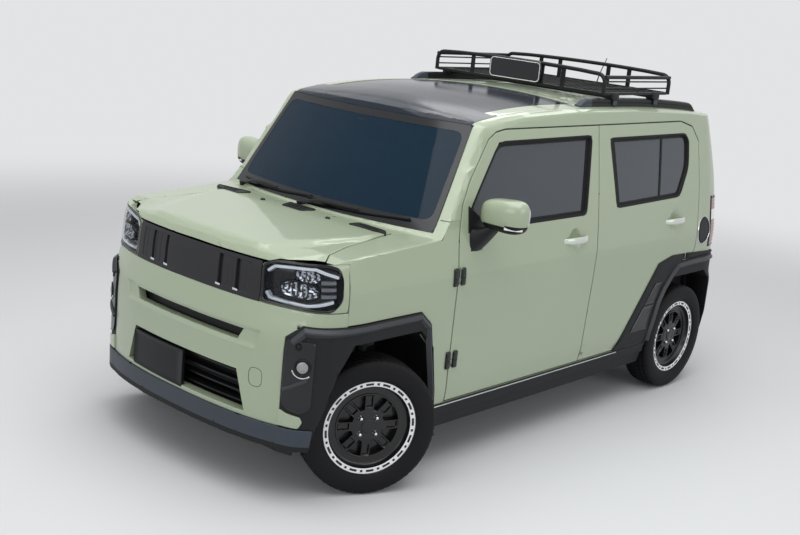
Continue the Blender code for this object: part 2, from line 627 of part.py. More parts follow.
headlamp = part_of("headlamp_left", lamp_layer, prism("outline", HEADLAMP, "Y", -2, HEADLAMP_REAR_Y), LAMP)
tail_lamp = part_of("tail_lamp_left", lamp_layer, box("limits", TAIL_LAMP_LOW, TAIL_LAMP_HIGH), LAMP)

# Front bumper, lip and grille panel

front_bumper = part_of("front_bumper", trim_layer, box("limits", (-1, -2, LIP_TOP_Z + SEAT_GAP), (
    1, HEADLAMP_REAR_Y, BUMPER_TOP_Z)))
keep_inside(front_bumper, outer, True)
for side in (1, -1):
    low, high = sorted((side * (CORNER_SPLIT_X - SEAT_GAP), side * 1.0))
    cut(front_bumper, side_prism("corner", FRONT_CLADDING, SEAT_GAP, (low, high)))
cut(front_bumper, prism("slot", UPPER_SLOT, "Y", -2, -1.4))
cut(front_bumper, prism("opening", LOWER_OPENING, "Y", -2, -1.4))

lip = cut(envelope("bumper_lip", -CLADDING_PROUD, 0.0, 0.0, -LIP_PROUD, 0.0, CLADDING_FOOT_Z - 0.012),
          trim_core, True)
keep_inside(lip, box("limits", (-1, -2, 0), (1, LIP_REAR_Y, LIP_TOP_Z)))
lip.data.materials[0] = SLATE

grille = part_of("grille_panel", bumper_layer, box("limits", (-GRILLE_HALF_WIDTH, -2, BUMPER_TOP_Z + SEAT_GAP), (
    GRILLE_HALF_WIDTH, -1.4, GRILLE_TOP_Z)), GLOSS_BLACK)

GROOVE_XS = (0.205, 0.230, 0.255, 0.280, 0.305)
GROOVE_HALF_WIDTH = 0.0085
GROOVE_DEPTH = 0.012
GROOVE_Z = (0.848, 0.968)
FACE_LINE = NOSE_Y + 0.052
for x in GROOVE_XS:
    for sign in (1, -1):
        floor_y = FACE_LINE + NOSE_CURVE[0] * x ** 2 + NOSE_CURVE[1] * x ** 4 + GROOVE_DEPTH
        cut(grille, box("groove", (sign * x - GROOVE_HALF_WIDTH, -2, GROOVE_Z[0]),
                        (sign * x + GROOVE_HALF_WIDTH, floor_y, GROOVE_Z[1])))

# Bonnet, cowl and windscreen

bonnet = part_of("bonnet", skin, prism("outline", [(x - SHUT_GAP / 2, y) for x, y in bonnet_edge_side] +
                 [(-x + SHUT_GAP / 2, y) for x, y in bonnet_edge_side[::-1]], "Z", GRILLE_TOP_Z + SHUT_GAP, 2))
for sign in (1, -1):
    lamp_room = prism("lamp_room", [(sign * x, z) for x, z in grown(HEADLAMP, SHUT_GAP)], "Y", -2,
                      HEADLAMP_REAR_Y + SHUT_GAP)
    cut(bonnet, lamp_room)
COWL_HALF_WIDTH = BONNET_EDGE[-1][1] + SHUT_GAP / 2 - SEAT_GAP
cowl = part_of("cowl_panel", skin, box("limits", (-COWL_HALF_WIDTH, COWL_Y + SHUT_GAP, 0.9), (
    COWL_HALF_WIDTH, -0.84, 1.2)), DARK_PLASTIC)
cut(cowl, glass_hole, True)

# Hinge lugs of the bonnet and the tailgate: flat ears side by side on each axis

LUG_X = 0.200
LUG_WIDTH = 0.010
BONNET_AXIS = (-1.016, 1.070)
for sign in (1, -1):
    low, high = sorted((sign * (LUG_X - LUG_WIDTH - SHUT_GAP), sign * LUG_X))
    cut(bonnet, box("notch", (low, BONNET_AXIS[0] - 0.018, 0.9), (high, -0.99, 1.2)))
    low, high = sorted((sign * (LUG_X - LUG_WIDTH), sign * (LUG_X - SEAT_GAP)))
    join(cowl, box("lug", (low, BONNET_AXIS[0] - 0.010, 1.055), (high, -0.990, BONNET_AXIS[1] + 0.004)))
windscreen = part_of("windscreen", pane_layer, prism("outline", grown(GLASS_APERTURE, -SEAT_GAP), "Y", -1.15, -0.50),
                     GLASS)

# Roof, its glass, tailgate with its glass and the rear bumper

roof_hole = box("roof_hole", (-ROOF_GLASS_HALF_WIDTH, ROOF_GLASS_FRONT_Y, 1.3), (
    ROOF_GLASS_HALF_WIDTH, ROOF_GLASS_REAR_Y, 2))
roof = part_of("roof_panel", shell, box("limits", (-ROOF_SPLIT_X, -0.90, 1.30), (ROOF_SPLIT_X, 1.75, 2)))
for tool in (glass_hole, roof_hole, tailgate_slot, tailgate_aperture):
    cut(roof, tool, True)
roof_pane = part_of("roof_glass", pane_layer, box("limits", (
    -ROOF_GLASS_HALF_WIDTH + SEAT_GAP, ROOF_GLASS_FRONT_Y + SEAT_GAP, 1.54), (
    ROOF_GLASS_HALF_WIDTH - SEAT_GAP, ROOF_GLASS_REAR_Y - SEAT_GAP, 2)), GLOSS_BLACK)
discard(roof_hole)

tailgate = part_of("tailgate", skin, prism("outline", TAILGATE_OUTLINE, "Y", TAILGATE_FRONT_Y, 1.8))
join(tailgate, part_of("backing", inner_layer,
                       prism("outline", grown(TAILGATE_OUTLINE, -FLANGE), "Y", TAILGATE_FRONT_Y, 1.8)))
cut(tailgate, prism("window", REAR_GLASS, "Y", 1.2, 1.8))
for sign in (1, -1):
    low, high = sorted((sign * (LUG_X - LUG_WIDTH - SHUT_GAP), sign * LUG_X))
    cut(tailgate, box("notch", (low, 1.40, TAILGATE_AXIS[1] - 0.027), (high, 1.60, 1.60)))
    low, high = sorted((sign * (LUG_X - LUG_WIDTH), sign * (LUG_X - SEAT_GAP)))
    lug = box("lug", (low, TAILGATE_AXIS[0] - 0.012, TAILGATE_AXIS[1] - 0.012), (high, TAILGATE_AXIS[0], 1.555))
    join(roof, lug)
tail_pane = part_of("tailgate_glass", pane_layer, prism("outline", grown(REAR_GLASS, -SEAT_GAP), "Y", 1.2, 1.8), GLASS)

rear_bumper = part_of("rear_bumper", bumper_layer, box("limits", (-1, 1.40, CLADDING_FOOT_Z), (
    1, 2, REAR_BUMPER_TOP_Z)), DARK_PLASTIC)
for side in (1, -1):
    corner_reach = sorted((side * (REAR_CORNER_X - SEAT_GAP), side * 1.0))
    cut(rear_bumper, side_prism("corner", SIDE_CLADDING, SEAT_GAP, corner_reach))
    arch_reach = sorted((side * REAR_WHEELHOUSE_INNER_X, side * 1.0))
    cut(rear_bumper, side_prism("arch", REAR_ARCH, 0.0, arch_reach))

# Floor pan: floor, toe board, rear step, wheel tubs, front rails and the carrier behind the bumper

REAR_FLOOR_Y = 0.760
REAR_FLOOR_Z = 0.460
REAR_UNDERSIDE_Z = 0.420
RAIL_LOW = (0.300, 0.330)
RAIL_HIGH = (WHEELHOUSE_INNER_X - 0.010, 0.430)
CARRIER_Y = -1.560
FLOOR_HALF_WIDTH = ROOF_SPLIT_X - SEAT_GAP

FLOOR_SIDE = ((FIREWALL_Y - FIREWALL_THICKNESS, 0), (1.75, 0), (1.75, REAR_BUMPER_TOP_Z - 0.001),
              (0, REAR_BUMPER_TOP_Z - 0.001), (0, 1.0), (FIREWALL_Y - FIREWALL_THICKNESS, 1.0))
floor_pan = part_of("floor_pan", shell, prism("limits", FLOOR_SIDE, "X", -FLOOR_HALF_WIDTH, FLOOR_HALF_WIDTH), STEEL)
join(floor_pan, box("step", (-FLOOR_HALF_WIDTH, REAR_FLOOR_Y, 0.25), (FLOOR_HALF_WIDTH, 1.60, REAR_FLOOR_Z)))
cut(floor_pan, box("axle_room", (-0.70, REAR_FLOOR_Y + 0.04, 0), (0.70, 1.595, REAR_UNDERSIDE_Z)))
for side in (1, -1):
    flip = Matrix.Scale(side, 4, Vector((1, 0, 0)))
    for arch, inner_x, outer_x, low, high in (
            (FRONT_ARCH, WHEELHOUSE_INNER_X, 0.690, (0, -2, 0), (1, FIREWALL_Y - FIREWALL_THICKNESS - SEAT_GAP, 1)),
            (FRONT_ARCH, WHEELHOUSE_INNER_X, FLOOR_HALF_WIDTH, (0, -1.2, 0), (1, 0, 1)),
            (REAR_ARCH, REAR_WHEELHOUSE_INNER_X, FLOOR_HALF_WIDTH, (0, 0, REAR_UNDERSIDE_Z), (1, 2, 1))):
        tub = side_prism("tub", arch, WHEELHOUSE_WALL, (inner_x - WHEELHOUSE_WALL, outer_x))
        keep_inside(tub, tub_limit, True)
        keep_inside(tub, box("limits", low, high))
        join(floor_pan, transformed(tub, flip))
    for arch, inner_x in ((FRONT_ARCH, WHEELHOUSE_INNER_X), (REAR_ARCH, REAR_WHEELHOUSE_INNER_X)):
        cut(floor_pan, transformed(side_prism("arch", arch, 0.0, (inner_x, 1.0)), flip))
    rail = box("rail", (RAIL_LOW[0], CARRIER_Y, RAIL_LOW[1]), (RAIL_HIGH[0], -0.93, RAIL_HIGH[1]))
    join(floor_pan, transformed(rail, flip))
    post = box("post", (RAIL_LOW[0], CARRIER_Y, 0.30), (RAIL_HIGH[0], CARRIER_Y + 0.03, 0.95))
    join(floor_pan, transformed(post, flip))
for low_z, high_z in ((0.30, 0.36), (0.74, 0.82), (0.90, 0.96)):
    join(floor_pan, box("bar", (-0.40, NOSE_Y, low_z), (0.40, CARRIER_Y + 0.03, high_z)))
keep_inside(floor_pan, trim_clear, True)

# Running gear

SUBFRAME_TOP_Z = 0.215
ARM_Z = (0.165, 0.183)
WHEEL_MIDDLE_X = WHEEL_FACE_X - TYRE_WIDTH / 2
AXLE_Z = TYRE_RADIUS
RIM_DISC_X = 0.020
HUB_FACE_X = WHEEL_MIDDLE_X + RIM_DISC_X - SEAT_GAP


def turned(name, profile, centre, sides, finish):
    """Turn a closed profile of (x, radius) points about the wheel's axis."""
    rings = [[(x + centre[0], centre[1] + r * math.cos(t), centre[2] + r * math.sin(t)) for x, r in profile]
             for t in np.arange(sides) * 2 * math.pi / sides]
    return loft(name, rings, finish, closed_path=True)


subframe = box("front_subframe", (-0.34, FRONT_AXLE_Y - 0.10, ARM_Z[0]),
               (0.34, FRONT_AXLE_Y + 0.10, SUBFRAME_TOP_Z), STEEL)
for side in (1, -1):
    arm = [(side * 0.33, FRONT_AXLE_Y - 0.10), (side * 0.33, FRONT_AXLE_Y + 0.10),
           (side * (KINGPIN_X + 0.015), FRONT_AXLE_Y + 0.022), (side * (KINGPIN_X + 0.015), FRONT_AXLE_Y - 0.022)]
    join(subframe, prism("arm", arm, "Z", *ARM_Z))
    for at in (-0.085, 0.055):
        near, far = sorted((side * RAIL_LOW[0], side * 0.340))
        low = (near, FRONT_AXLE_Y + at, 0.19)
        high = (far, FRONT_AXLE_Y + at + 0.03, RAIL_LOW[1] - SEAT_GAP)
        join(subframe, box("post", low, high))

ENGINE_LOW = (-0.285, FRONT_AXLE_Y - 0.24, SUBFRAME_TOP_Z + SEAT_GAP)
ENGINE_HIGH = (0.245, FRONT_AXLE_Y + 0.13, 0.800)
engine = box("engine_block", ENGINE_LOW, ENGINE_HIGH, STEEL)

STRUT_X = 0.530
knuckle = prism("knuckle_left", [(FRONT_AXLE_Y + y, AXLE_Z + z) for y, z in (
    (-0.030, -0.1147), (0.030, -0.1147), (0.060, 0.0), (0.035, 0.11), (-0.035, 0.11), (-0.060, 0.0))],
                "X", 0.592, 0.620, STEEL)
join(knuckle, rod("hub", (0.61, FRONT_AXLE_Y, AXLE_Z), (HUB_FACE_X, FRONT_AXLE_Y, AXLE_Z), 0.055, 16))
join(knuckle, box("ball_lug", (0.60, FRONT_AXLE_Y - 0.02, ARM_Z[1] + SEAT_GAP),
                  (KINGPIN_X + 0.012, FRONT_AXLE_Y + 0.02, 0.215)))
join(knuckle, box("bracket", (STRUT_X, FRONT_AXLE_Y - 0.02, AXLE_Z + 0.05),
                  (0.60, FRONT_AXLE_Y + 0.02, AXLE_Z + 0.105)))
join(knuckle, rod("strut", (STRUT_X, FRONT_AXLE_Y, AXLE_Z + 0.03), (STRUT_X, FRONT_AXLE_Y, 0.678), 0.024, 8))
join(knuckle, rod("spring", (STRUT_X, FRONT_AXLE_Y, 0.612), (STRUT_X, FRONT_AXLE_Y, 0.668), 0.055, 10))

BEAM_Y = REAR_AXLE_Y - 0.17
COIL_Y = REAR_AXLE_Y - 0.08
ARM_X = 0.470
UNDER_FLOOR_Z = REAR_UNDERSIDE_Z - SEAT_GAP
rear_axle = rod("rear_axle", (-0.48, BEAM_Y, 0.300), (0.48, BEAM_Y, 0.300), 0.036, 8)
for side in (1, -1):
    flip = Matrix.Scale(side, 4, Vector((1, 0, 0)))
    for piece in (
            box("arm", (0.44, REAR_FLOOR_Y + 0.07, 0.272), (0.50, REAR_AXLE_Y + 0.05, 0.328)),
            rod("pivot", (ARM_X, REAR_FLOOR_Y + 0.10, 0.30), (ARM_X, REAR_FLOOR_Y + 0.10, UNDER_FLOOR_Z), 0.026, 8),
            rod("coil", (ARM_X, COIL_Y, 0.31), (ARM_X, COIL_Y, UNDER_FLOOR_Z), 0.050, 10),
            rod("stub", (0.48, REAR_AXLE_Y, AXLE_Z), (HUB_FACE_X, REAR_AXLE_Y, AXLE_Z), 0.050, 12),
            rod("drum", (0.585, REAR_AXLE_Y, AXLE_Z), (0.660, REAR_AXLE_Y, AXLE_Z), 0.105, 16)):
        join(rear_axle, transformed(piece, flip))

PIPE_X = 0.120
PIPE_RADIUS = 0.020
PIPE_Z = GROUND_CLEARANCE - SEAT_GAP - PIPE_RADIUS
EXHAUST_ROUTE = ((PIPE_X, ENGINE_HIGH[1] + SEAT_GAP, 0.250), (PIPE_X, ENGINE_HIGH[1] + 0.03, 0.250),
                 (PIPE_X, FIREWALL_Y - FIREWALL_THICKNESS - 0.03, PIPE_Z), (PIPE_X, 1.20, PIPE_Z),
                 (PIPE_X, 1.38, 0.225))
exhaust = box("exhaust", (-0.30, 1.37, 0.190), (0.20, 1.56, 0.320), STEEL)
for start, end in zip(EXHAUST_ROUTE, EXHAUST_ROUTE[1:]):
    join(exhaust, rod("pipe", start, end, PIPE_RADIUS, 10))
for at in (-0.20, 0.10):
    join(exhaust, rod("hanger", (at, 1.46, 0.30), (at, 1.46, REAR_UNDERSIDE_Z - SEAT_GAP), 0.012, 8))

# Wheels: tyre and spoked rim

TYRE_PROFILE = ((-0.068, 0.209), (-0.0825, 0.248), (-0.079, 0.280), (-0.062, 0.295), (-0.040, 0.298),
                (0.040, 0.298), (0.062, 0.295), (0.079, 0.280), (0.0825, 0.248), (0.068, 0.209))
RIM_PROFILE = ((-0.070, RIM_RADIUS - SEAT_GAP), (-0.070, 0.190), (RIM_DISC_X, 0.182), (RIM_DISC_X, 0.002),
               (0.052, 0.002),
               (0.052, 0.050), (0.042, 0.070), (0.042, 0.165), (0.056, 0.190), (0.070, RIM_RADIUS - SEAT_GAP))
TYRE_SIDES = 24


def wheel(corner, side, axle_y):
    """Tyre and rim of one corner, upright at their place."""
    centre = (WHEEL_MIDDLE_X, axle_y, AXLE_Z)
    tyre = turned("tyre_" + corner, TYRE_PROFILE, centre, TYRE_SIDES, RUBBER)
    rim = turned("rim_" + corner, RIM_PROFILE, centre, TYRE_SIDES, RIM_BLACK)
    windows = []
    for spoke in range(SPOKES):
        middle = 2 * math.pi * (spoke + 0.5) / SPOKES
        points = []
        for r, half in ((0.086, 0.55), (0.158, 0.70)):
            for sign in ((-1, 1) if r < 0.1 else (1, -1)):
                t = middle + sign * half * math.pi / SPOKES
                points.append((axle_y + r * math.cos(t), AXLE_Z + r * math.sin(t)))
        windows.append(prism("window", points, "X", centre[0], centre[0] + 0.08))
    bpy.ops.object.select_all(action="DESELECT")
    for window in windows:
        window.select_set(True)
    bpy.context.view_layer.objects.active = windows[0]
    bpy.ops.object.join()
    cut(rim, windows[0])
    for piece in (tyre, rim):
        piece.data.shade_smooth()
        piece.data.set_sharp_from_angle(angle=math.radians(35))
        if side < 0:
            transformed(piece, Matrix.Scale(-1.0, 4, Vector((1, 0, 0))))
    return tyre, rim


front_wheels = {side: wheel("front_" + word, side, FRONT_AXLE_Y) for word, side in (("left", 1), ("right", -1))}
rear_wheels = {side: wheel("rear_" + word, side, REAR_AXLE_Y) for word, side in (("left", 1), ("right", -1))}
knuckle_right = mirrored(knuckle, "knuckle_right")
for side, upright in ((1, knuckle), (-1, knuckle_right)):
    pin = Matrix.Translation((side * KINGPIN_X, FRONT_AXLE_Y, 0))
    steer = pin @ Matrix.Rotation(math.radians(STEER_AT_REST), 4, "Z") @ pin.inverted()
    for piece in (upright, *front_wheels[side]):
        transformed(piece, steer)

# Cabin: dashboard with the steering wheel, front seats on their console, rear bench

DASH = ((FIREWALL_Y + SEAT_GAP, 0.72), (-0.825, 0.72), (-0.80, 0.64), (-0.62, 0.64), (-0.54, 0.80), (-0.56, 0.97),
        (-0.68, 1.03), (FIREWALL_Y + SEAT_GAP, 1.03))
DRIVER_X = -0.330
dashboard = prism("dashboard", DASH, "X", -0.590, 0.590, DARK_PLASTIC)
STEER_CENTRE = Vector((DRIVER_X, -0.415, 0.930))
STEER_AXIS = Vector((0.0, 0.90, 0.42)).normalized()
STEER_RADIUS = 0.172
join(dashboard, rod("column", STEER_CENTRE - STEER_AXIS * 0.20, STEER_CENTRE + STEER_AXIS * 0.02, 0.035, 12))
rim_rings = []
across = Vector((1, 0, 0))
upward = STEER_AXIS.cross(across)
for t in np.arange(20) * 2 * math.pi / 20:
    out = math.cos(t) * across + math.sin(t) * upward
    rim_rings.append([STEER_CENTRE + out * (STEER_RADIUS + 0.014 * math.cos(s)) + STEER_AXIS * 0.014 * math.sin(s)
                      for s in np.arange(6) * 2 * math.pi / 6])
steering_rim = loft("steering_rim", rim_rings, DARK_PLASTIC, closed_path=True)
for angle in (0.0, 180.0, 270.0):
    out = math.cos(math.radians(angle)) * across + math.sin(math.radians(angle)) * upward
    join(steering_rim, rod("spoke", STEER_CENTRE + out * 0.02, STEER_CENTRE + out * STEER_RADIUS, 0.010, 6))
join(dashboard, steering_rim)

SEAT_X = 0.325
front_seats = box("front_seats", (-0.09, -0.30, CABIN_FLOOR_Z + SEAT_GAP), (0.09, 0.16, 0.60), FABRIC)
for side in (1, -1):
    x = side * SEAT_X
    for piece in (box("base", (x - 0.20, -0.24, CABIN_FLOOR_Z + SEAT_GAP), (x + 0.20, 0.14, 0.44)),
                  squircle("cushion", (x, -0.06, 0.50), (0.250, 0.26, 0.085), 0.40),
                  squircle("back", (x, 0.215, 0.82), (0.235, 0.085, 0.300), 0.45),
                  squircle("headrest", (x, 0.245, 1.185), (0.130, 0.050, 0.095), 0.5),
                  rod("posts", (x, 0.235, 1.06), (x, 0.240, 1.15), 0.030, 8)):
        join(front_seats, piece)
REAR_SEAT_HALF_WIDTH = 0.505
rear_seat = box("rear_seat", (-0.45, REAR_FLOOR_Y + 0.02, REAR_FLOOR_Z + SEAT_GAP), (0.45, 1.10, 0.52), FABRIC)
for piece in (squircle("cushion", (0, 0.855, 0.555), (REAR_SEAT_HALF_WIDTH, 0.27, 0.075), 0.35),
              squircle("back", (0, 1.145, 0.83), (REAR_SEAT_HALF_WIDTH, 0.080, 0.280), 0.35)):
    join(rear_seat, piece)
for x in (-0.26, 0.26):
    join(rear_seat, rod("post", (x, 1.15, 1.06), (x, 1.155, 1.14), 0.030, 8))
    join(rear_seat, squircle("headrest", (x, 1.155, 1.175), (0.120, 0.045, 0.075), 0.5))

# Roof rails and the basket rack with its blank sign

RAIL_X = 0.545
RAIL_WIDTH = 0.036
RAIL_HEIGHT = 0.040
RAIL_STATIONS = (0.265, 0.70, 1.25, 1.340)
RACK_HALF_WIDTH = 0.555
RACK_FRONT_Y = 0.450
RACK_REAR_Y = 1.085
RACK_FLOOR_Z = 1.660
RACK_TOP_Z = 1.757
RACK_CROWN = 0.012
RACK_CORNER = 0.045
CLAMP_YS = (0.550, 0.950)
CROSS_BAR_Z = (1.634, 1.655)
UPRIGHTS = (-0.300, -0.165, 0.165, 0.300)
TUBE_RADIUS = 0.011
FLOOR_BAR = 0.007
SIGN_HALF_WIDTH = 0.170
SIGN_Z = (1.662, 1.776)


def tube(name, points, radius, sides=6, finish=DARK_PLASTIC):
    """A bent tube through a list of points, with mitred rings and flat ends."""
    points = [Vector(p) for p in points]
    rings = []
    for i, at in enumerate(points):
        ahead = (points[min(i + 1, len(points) - 1)] - at).normalized()
        behind = (at - points[max(i - 1, 0)]).normalized()
        along = (ahead + behind).normalized()
        across = along.cross(Vector((0, 1, 0))).normalized()
        other = along.cross(across)
        turns = np.arange(sides) * 2 * math.pi / sides
        rings.append([at + radius * (math.cos(t) * across + math.sin(t) * other) for t in turns])
    return loft(name, rings, finish)


def hoop(y):
    """A tube that rises at one side of the basket, crosses it in a shallow crown and comes down again."""
    points = [(-RACK_HALF_WIDTH, y, RACK_FLOOR_Z - TUBE_RADIUS)]
    for t in (0.0, 30.0, 60.0, 90.0):
        turn = math.radians(t)
        points.append((-RACK_HALF_WIDTH + RACK_CORNER * (1 - math.cos(turn)), y,
                       RACK_TOP_Z - RACK_CORNER * (1 - math.sin(turn))))
    points += [(-RACK_HALF_WIDTH / 2, y, RACK_TOP_Z + 0.7 * RACK_CROWN), (0, y, RACK_TOP_Z + RACK_CROWN)]
    return tube("roof_rack", points + [(-x, y, z) for x, y, z in points[-2::-1]], TUBE_RADIUS)


def upright(x, y):
    """A flat bar from the basket's floor to its hoop."""
    top = RACK_TOP_Z + RACK_CROWN * (1.0 - (x / RACK_HALF_WIDTH) ** 2)
    return box("upright", (x - 0.013, y - 0.004, RACK_FLOOR_Z), (x + 0.013, y + 0.004, top))


rack = hoop(RACK_FRONT_Y)
join(rack, box("frame", (-RACK_HALF_WIDTH, RACK_FRONT_Y - FLOOR_BAR, RACK_FLOOR_Z - FLOOR_BAR),
               (RACK_HALF_WIDTH, RACK_REAR_Y + FLOOR_BAR, RACK_FLOOR_Z + FLOOR_BAR)))
columns = np.linspace(-RACK_HALF_WIDTH, RACK_HALF_WIDTH, 7)
rows = np.linspace(RACK_FRONT_Y, RACK_REAR_Y, 6)
for x0, x1 in zip(columns, columns[1:]):
    for y0, y1 in zip(rows, rows[1:]):
        cut(rack, box("mesh_hole", (x0 + FLOOR_BAR, y0 + FLOOR_BAR, RACK_FLOOR_Z - 0.03),
                      (x1 - FLOOR_BAR, y1 - FLOOR_BAR, RACK_FLOOR_Z + 0.03)))
join(rack, hoop(RACK_REAR_Y))
for x in UPRIGHTS:
    for y in (RACK_FRONT_Y, RACK_REAR_Y):
        join(rack, upright(x, y))
for side in (1, -1):
    x = side * RACK_HALF_WIDTH
    join(rack, box("side_rod", (x - 0.004, RACK_FRONT_Y, RACK_FLOOR_Z + 0.024),
                   (x + 0.004, RACK_REAR_Y, RACK_FLOOR_Z + 0.032)))
    foot = [(y, roof_top(RAIL_X - RAIL_WIDTH / 2, y) + SEAT_GAP) for y in RAIL_STATIONS]
    top = [(y, z + RAIL_HEIGHT) for y, z in foot]
    top[0] = (top[0][0] + 0.045, top[0][1])
    top[-1] = (top[-1][0] - 0.030, top[-1][1])
    reach = sorted((side * (RAIL_X - RAIL_WIDTH / 2), side * (RAIL_X + RAIL_WIDTH / 2)))
    join(rack, prism("rail", foot + top[::-1], "X", *reach))
    for y in CLAMP_YS:
        join(rack, box("clamp", (side * RAIL_X - 0.020, y - 0.028, CROSS_BAR_Z[0] - 0.012),
                       (side * RAIL_X + 0.020, y + 0.028, RACK_FLOOR_Z)))
for y in CLAMP_YS:
    join(rack, box("cross_bar", (-RAIL_X, y - 0.018, CROSS_BAR_Z[0]), (RAIL_X, y + 0.018, CROSS_BAR_Z[1])))
join(rack, box("sign", (-SIGN_HALF_WIDTH, RACK_FRONT_Y - 0.020, SIGN_Z[0]),
               (SIGN_HALF_WIDTH, RACK_FRONT_Y + 0.002, SIGN_Z[1])))

# Right-hand copies of the side pieces

for piece in (front_door, rear_door, front_pane, rear_pane, side_frame, fender, corner_cladding, side_cladding,
              headlamp, tail_lamp):
    mirrored(piece, piece.name.replace("_left", "_right"))

discard(outer, skin_core, shut_core, cabin, shell, skin, inner_layer, proud, trim_core, trim_clear, trim_layer, pane_layer,
        tub_limit, lamp_layer, glass_hole, tailgate_slot,
        tailgate_aperture, bumper_layer)


def plain_faces(shape):
    """Merge the flat neighbouring faces of a finished piece."""
    mesh = bmesh.new()
    mesh.from_mesh(shape.data)
    bmesh.ops.dissolve_limit(mesh, angle_limit=FLAT_ANGLE, verts=mesh.verts, edges=mesh.edges)
    mesh.to_mesh(shape.data)
    mesh.free()


for piece in bpy.context.scene.objects:
    plain_faces(piece)
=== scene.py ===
"""Kei car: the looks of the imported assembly, piece by piece in the order of its building.

Metres, +Z up, nose towards -Y, the car's left side at +X.
"""
import json
import math

import bmesh
import bpy
import numpy as np
from mathutils import Matrix, Vector


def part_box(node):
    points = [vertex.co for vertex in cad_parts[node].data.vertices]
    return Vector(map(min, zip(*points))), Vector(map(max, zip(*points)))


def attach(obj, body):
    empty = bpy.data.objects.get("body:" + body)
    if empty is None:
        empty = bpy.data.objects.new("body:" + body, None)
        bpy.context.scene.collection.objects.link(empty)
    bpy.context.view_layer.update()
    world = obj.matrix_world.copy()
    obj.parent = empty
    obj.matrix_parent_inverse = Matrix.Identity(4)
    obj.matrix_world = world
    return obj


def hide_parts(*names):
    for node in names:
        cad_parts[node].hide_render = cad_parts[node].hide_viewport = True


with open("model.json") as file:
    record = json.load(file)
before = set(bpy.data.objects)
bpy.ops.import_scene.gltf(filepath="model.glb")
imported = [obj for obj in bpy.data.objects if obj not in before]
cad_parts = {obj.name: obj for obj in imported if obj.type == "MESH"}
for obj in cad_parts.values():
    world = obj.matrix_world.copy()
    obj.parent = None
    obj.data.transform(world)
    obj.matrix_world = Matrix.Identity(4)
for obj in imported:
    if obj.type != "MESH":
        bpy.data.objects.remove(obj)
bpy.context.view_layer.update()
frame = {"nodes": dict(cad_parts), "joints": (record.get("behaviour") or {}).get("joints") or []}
scene = bpy.context.scene

# Viewpoint: a long lens at head height off the left front corner, a little rolled.

CAMERA_AT = Vector((3.8065, -4.6795, 2.1210))
CAMERA_YAW = math.radians(-41.2046)
CAMERA_PITCH = math.radians(-13.6425)
CAMERA_ROLL = math.radians(5.5782)
FOCAL_PIXELS = 1181.24
IMAGE_WIDTH = 800
SENSOR = 36.0


def place_camera():
    """The view axes are turned by yaw, then pitch, then rolled about the line of sight."""
    sight = Vector((math.sin(CAMERA_YAW) * math.cos(CAMERA_PITCH),
                    math.cos(CAMERA_YAW) * math.cos(CAMERA_PITCH), math.sin(CAMERA_PITCH)))
    level = Vector((math.cos(CAMERA_YAW), -math.sin(CAMERA_YAW), 0.0))
    upward = level.cross(sight)
    right = level * math.cos(CAMERA_ROLL) + upward * math.sin(CAMERA_ROLL)
    top = upward * math.cos(CAMERA_ROLL) - level * math.sin(CAMERA_ROLL)
    data = bpy.data.cameras.new("camera")
    data.sensor_width = SENSOR
    data.lens = FOCAL_PIXELS / IMAGE_WIDTH * SENSOR
    camera = bpy.data.objects.new("camera", data)
    scene.collection.objects.link(camera)
    turn = Matrix((right, top, -sight)).transposed().to_4x4()
    camera.matrix_world = Matrix.Translation(CAMERA_AT) @ turn
    scene.camera = camera


place_camera()

# Studio: a pale floor that fades to the backdrop's colour, one wide soft lamp overhead and three fills.

FLOOR_COLOUR = (0.70, 0.705, 0.71)
BACKDROP = (0.90, 0.91, 0.92)
BACKDROP_STRENGTH = 0.85
AMBIENT = 0.42
FADE_START = 3.4
FADE_END = 8.0


def shader_of(material):
    """The Principled node of a material."""
    return material.node_tree.nodes["Principled BSDF"]


def new_material(name, colour=(0.5, 0.5, 0.5), roughness=0.5, **settings):
    """A Principled material; further keyword names are socket names with underscores."""
    made = bpy.data.materials.new(name)
    made.use_nodes = True
    shader = shader_of(made)
    shader.inputs["Base Color"].default_value = (*colour, 1.0)
    shader.inputs["Roughness"].default_value = roughness
    for key, value in settings.items():
        socket = shader.inputs[key.replace("_", " ")]
        socket.default_value = (*value, 1.0) if isinstance(value, tuple) else value
    made.diffuse_color = (*colour, 1.0)
    return made


def seen_directly(nodes, links):
    """Output that is one for rays of the camera, of gloss and of glass."""
    path = nodes.new("ShaderNodeLightPath")
    total = path.outputs["Is Camera Ray"]
    for ray in ("Is Glossy Ray", "Is Transmission Ray"):
        either = nodes.new("ShaderNodeMath")
        either.operation = "MAXIMUM"
        links.new(total, either.inputs[0])
        links.new(path.outputs[ray], either.inputs[1])
        total = either.outputs[0]
    return total


def fade_to_backdrop(material):
    """Mix in the backdrop's colour by the distance from the middle of the floor, eased at both ends."""
    nodes, links = material.node_tree.nodes, material.node_tree.links
    where = nodes.new("ShaderNodeTexCoord")
    far = nodes.new("ShaderNodeVectorMath")
    far.operation = "LENGTH"
    links.new(where.outputs["Object"], far.inputs[0])
    ease = nodes.new("ShaderNodeMapRange")
    ease.interpolation_type = "SMOOTHERSTEP"
    ease.inputs["From Min"].default_value = FADE_START
    ease.inputs["From Max"].default_value = FADE_END
    links.new(far.outputs["Value"], ease.inputs["Value"])
    share = nodes.new("ShaderNodeMath")
    share.operation = "MULTIPLY"
    links.new(ease.outputs["Result"], share.inputs[0])
    links.new(seen_directly(nodes, links), share.inputs[1])
    glow = nodes.new("ShaderNodeEmission")
    glow.inputs["Color"].default_value = (*BACKDROP, 1.0)
    glow.inputs["Strength"].default_value = BACKDROP_STRENGTH
    mix = nodes.new("ShaderNodeMixShader")
    links.new(share.outputs[0], mix.inputs["Fac"])
    links.new(nodes["Principled BSDF"].outputs[0], mix.inputs[1])
    links.new(glow.outputs[0], mix.inputs[2])
    links.new(mix.outputs[0], nodes["Material Output"].inputs["Surface"])


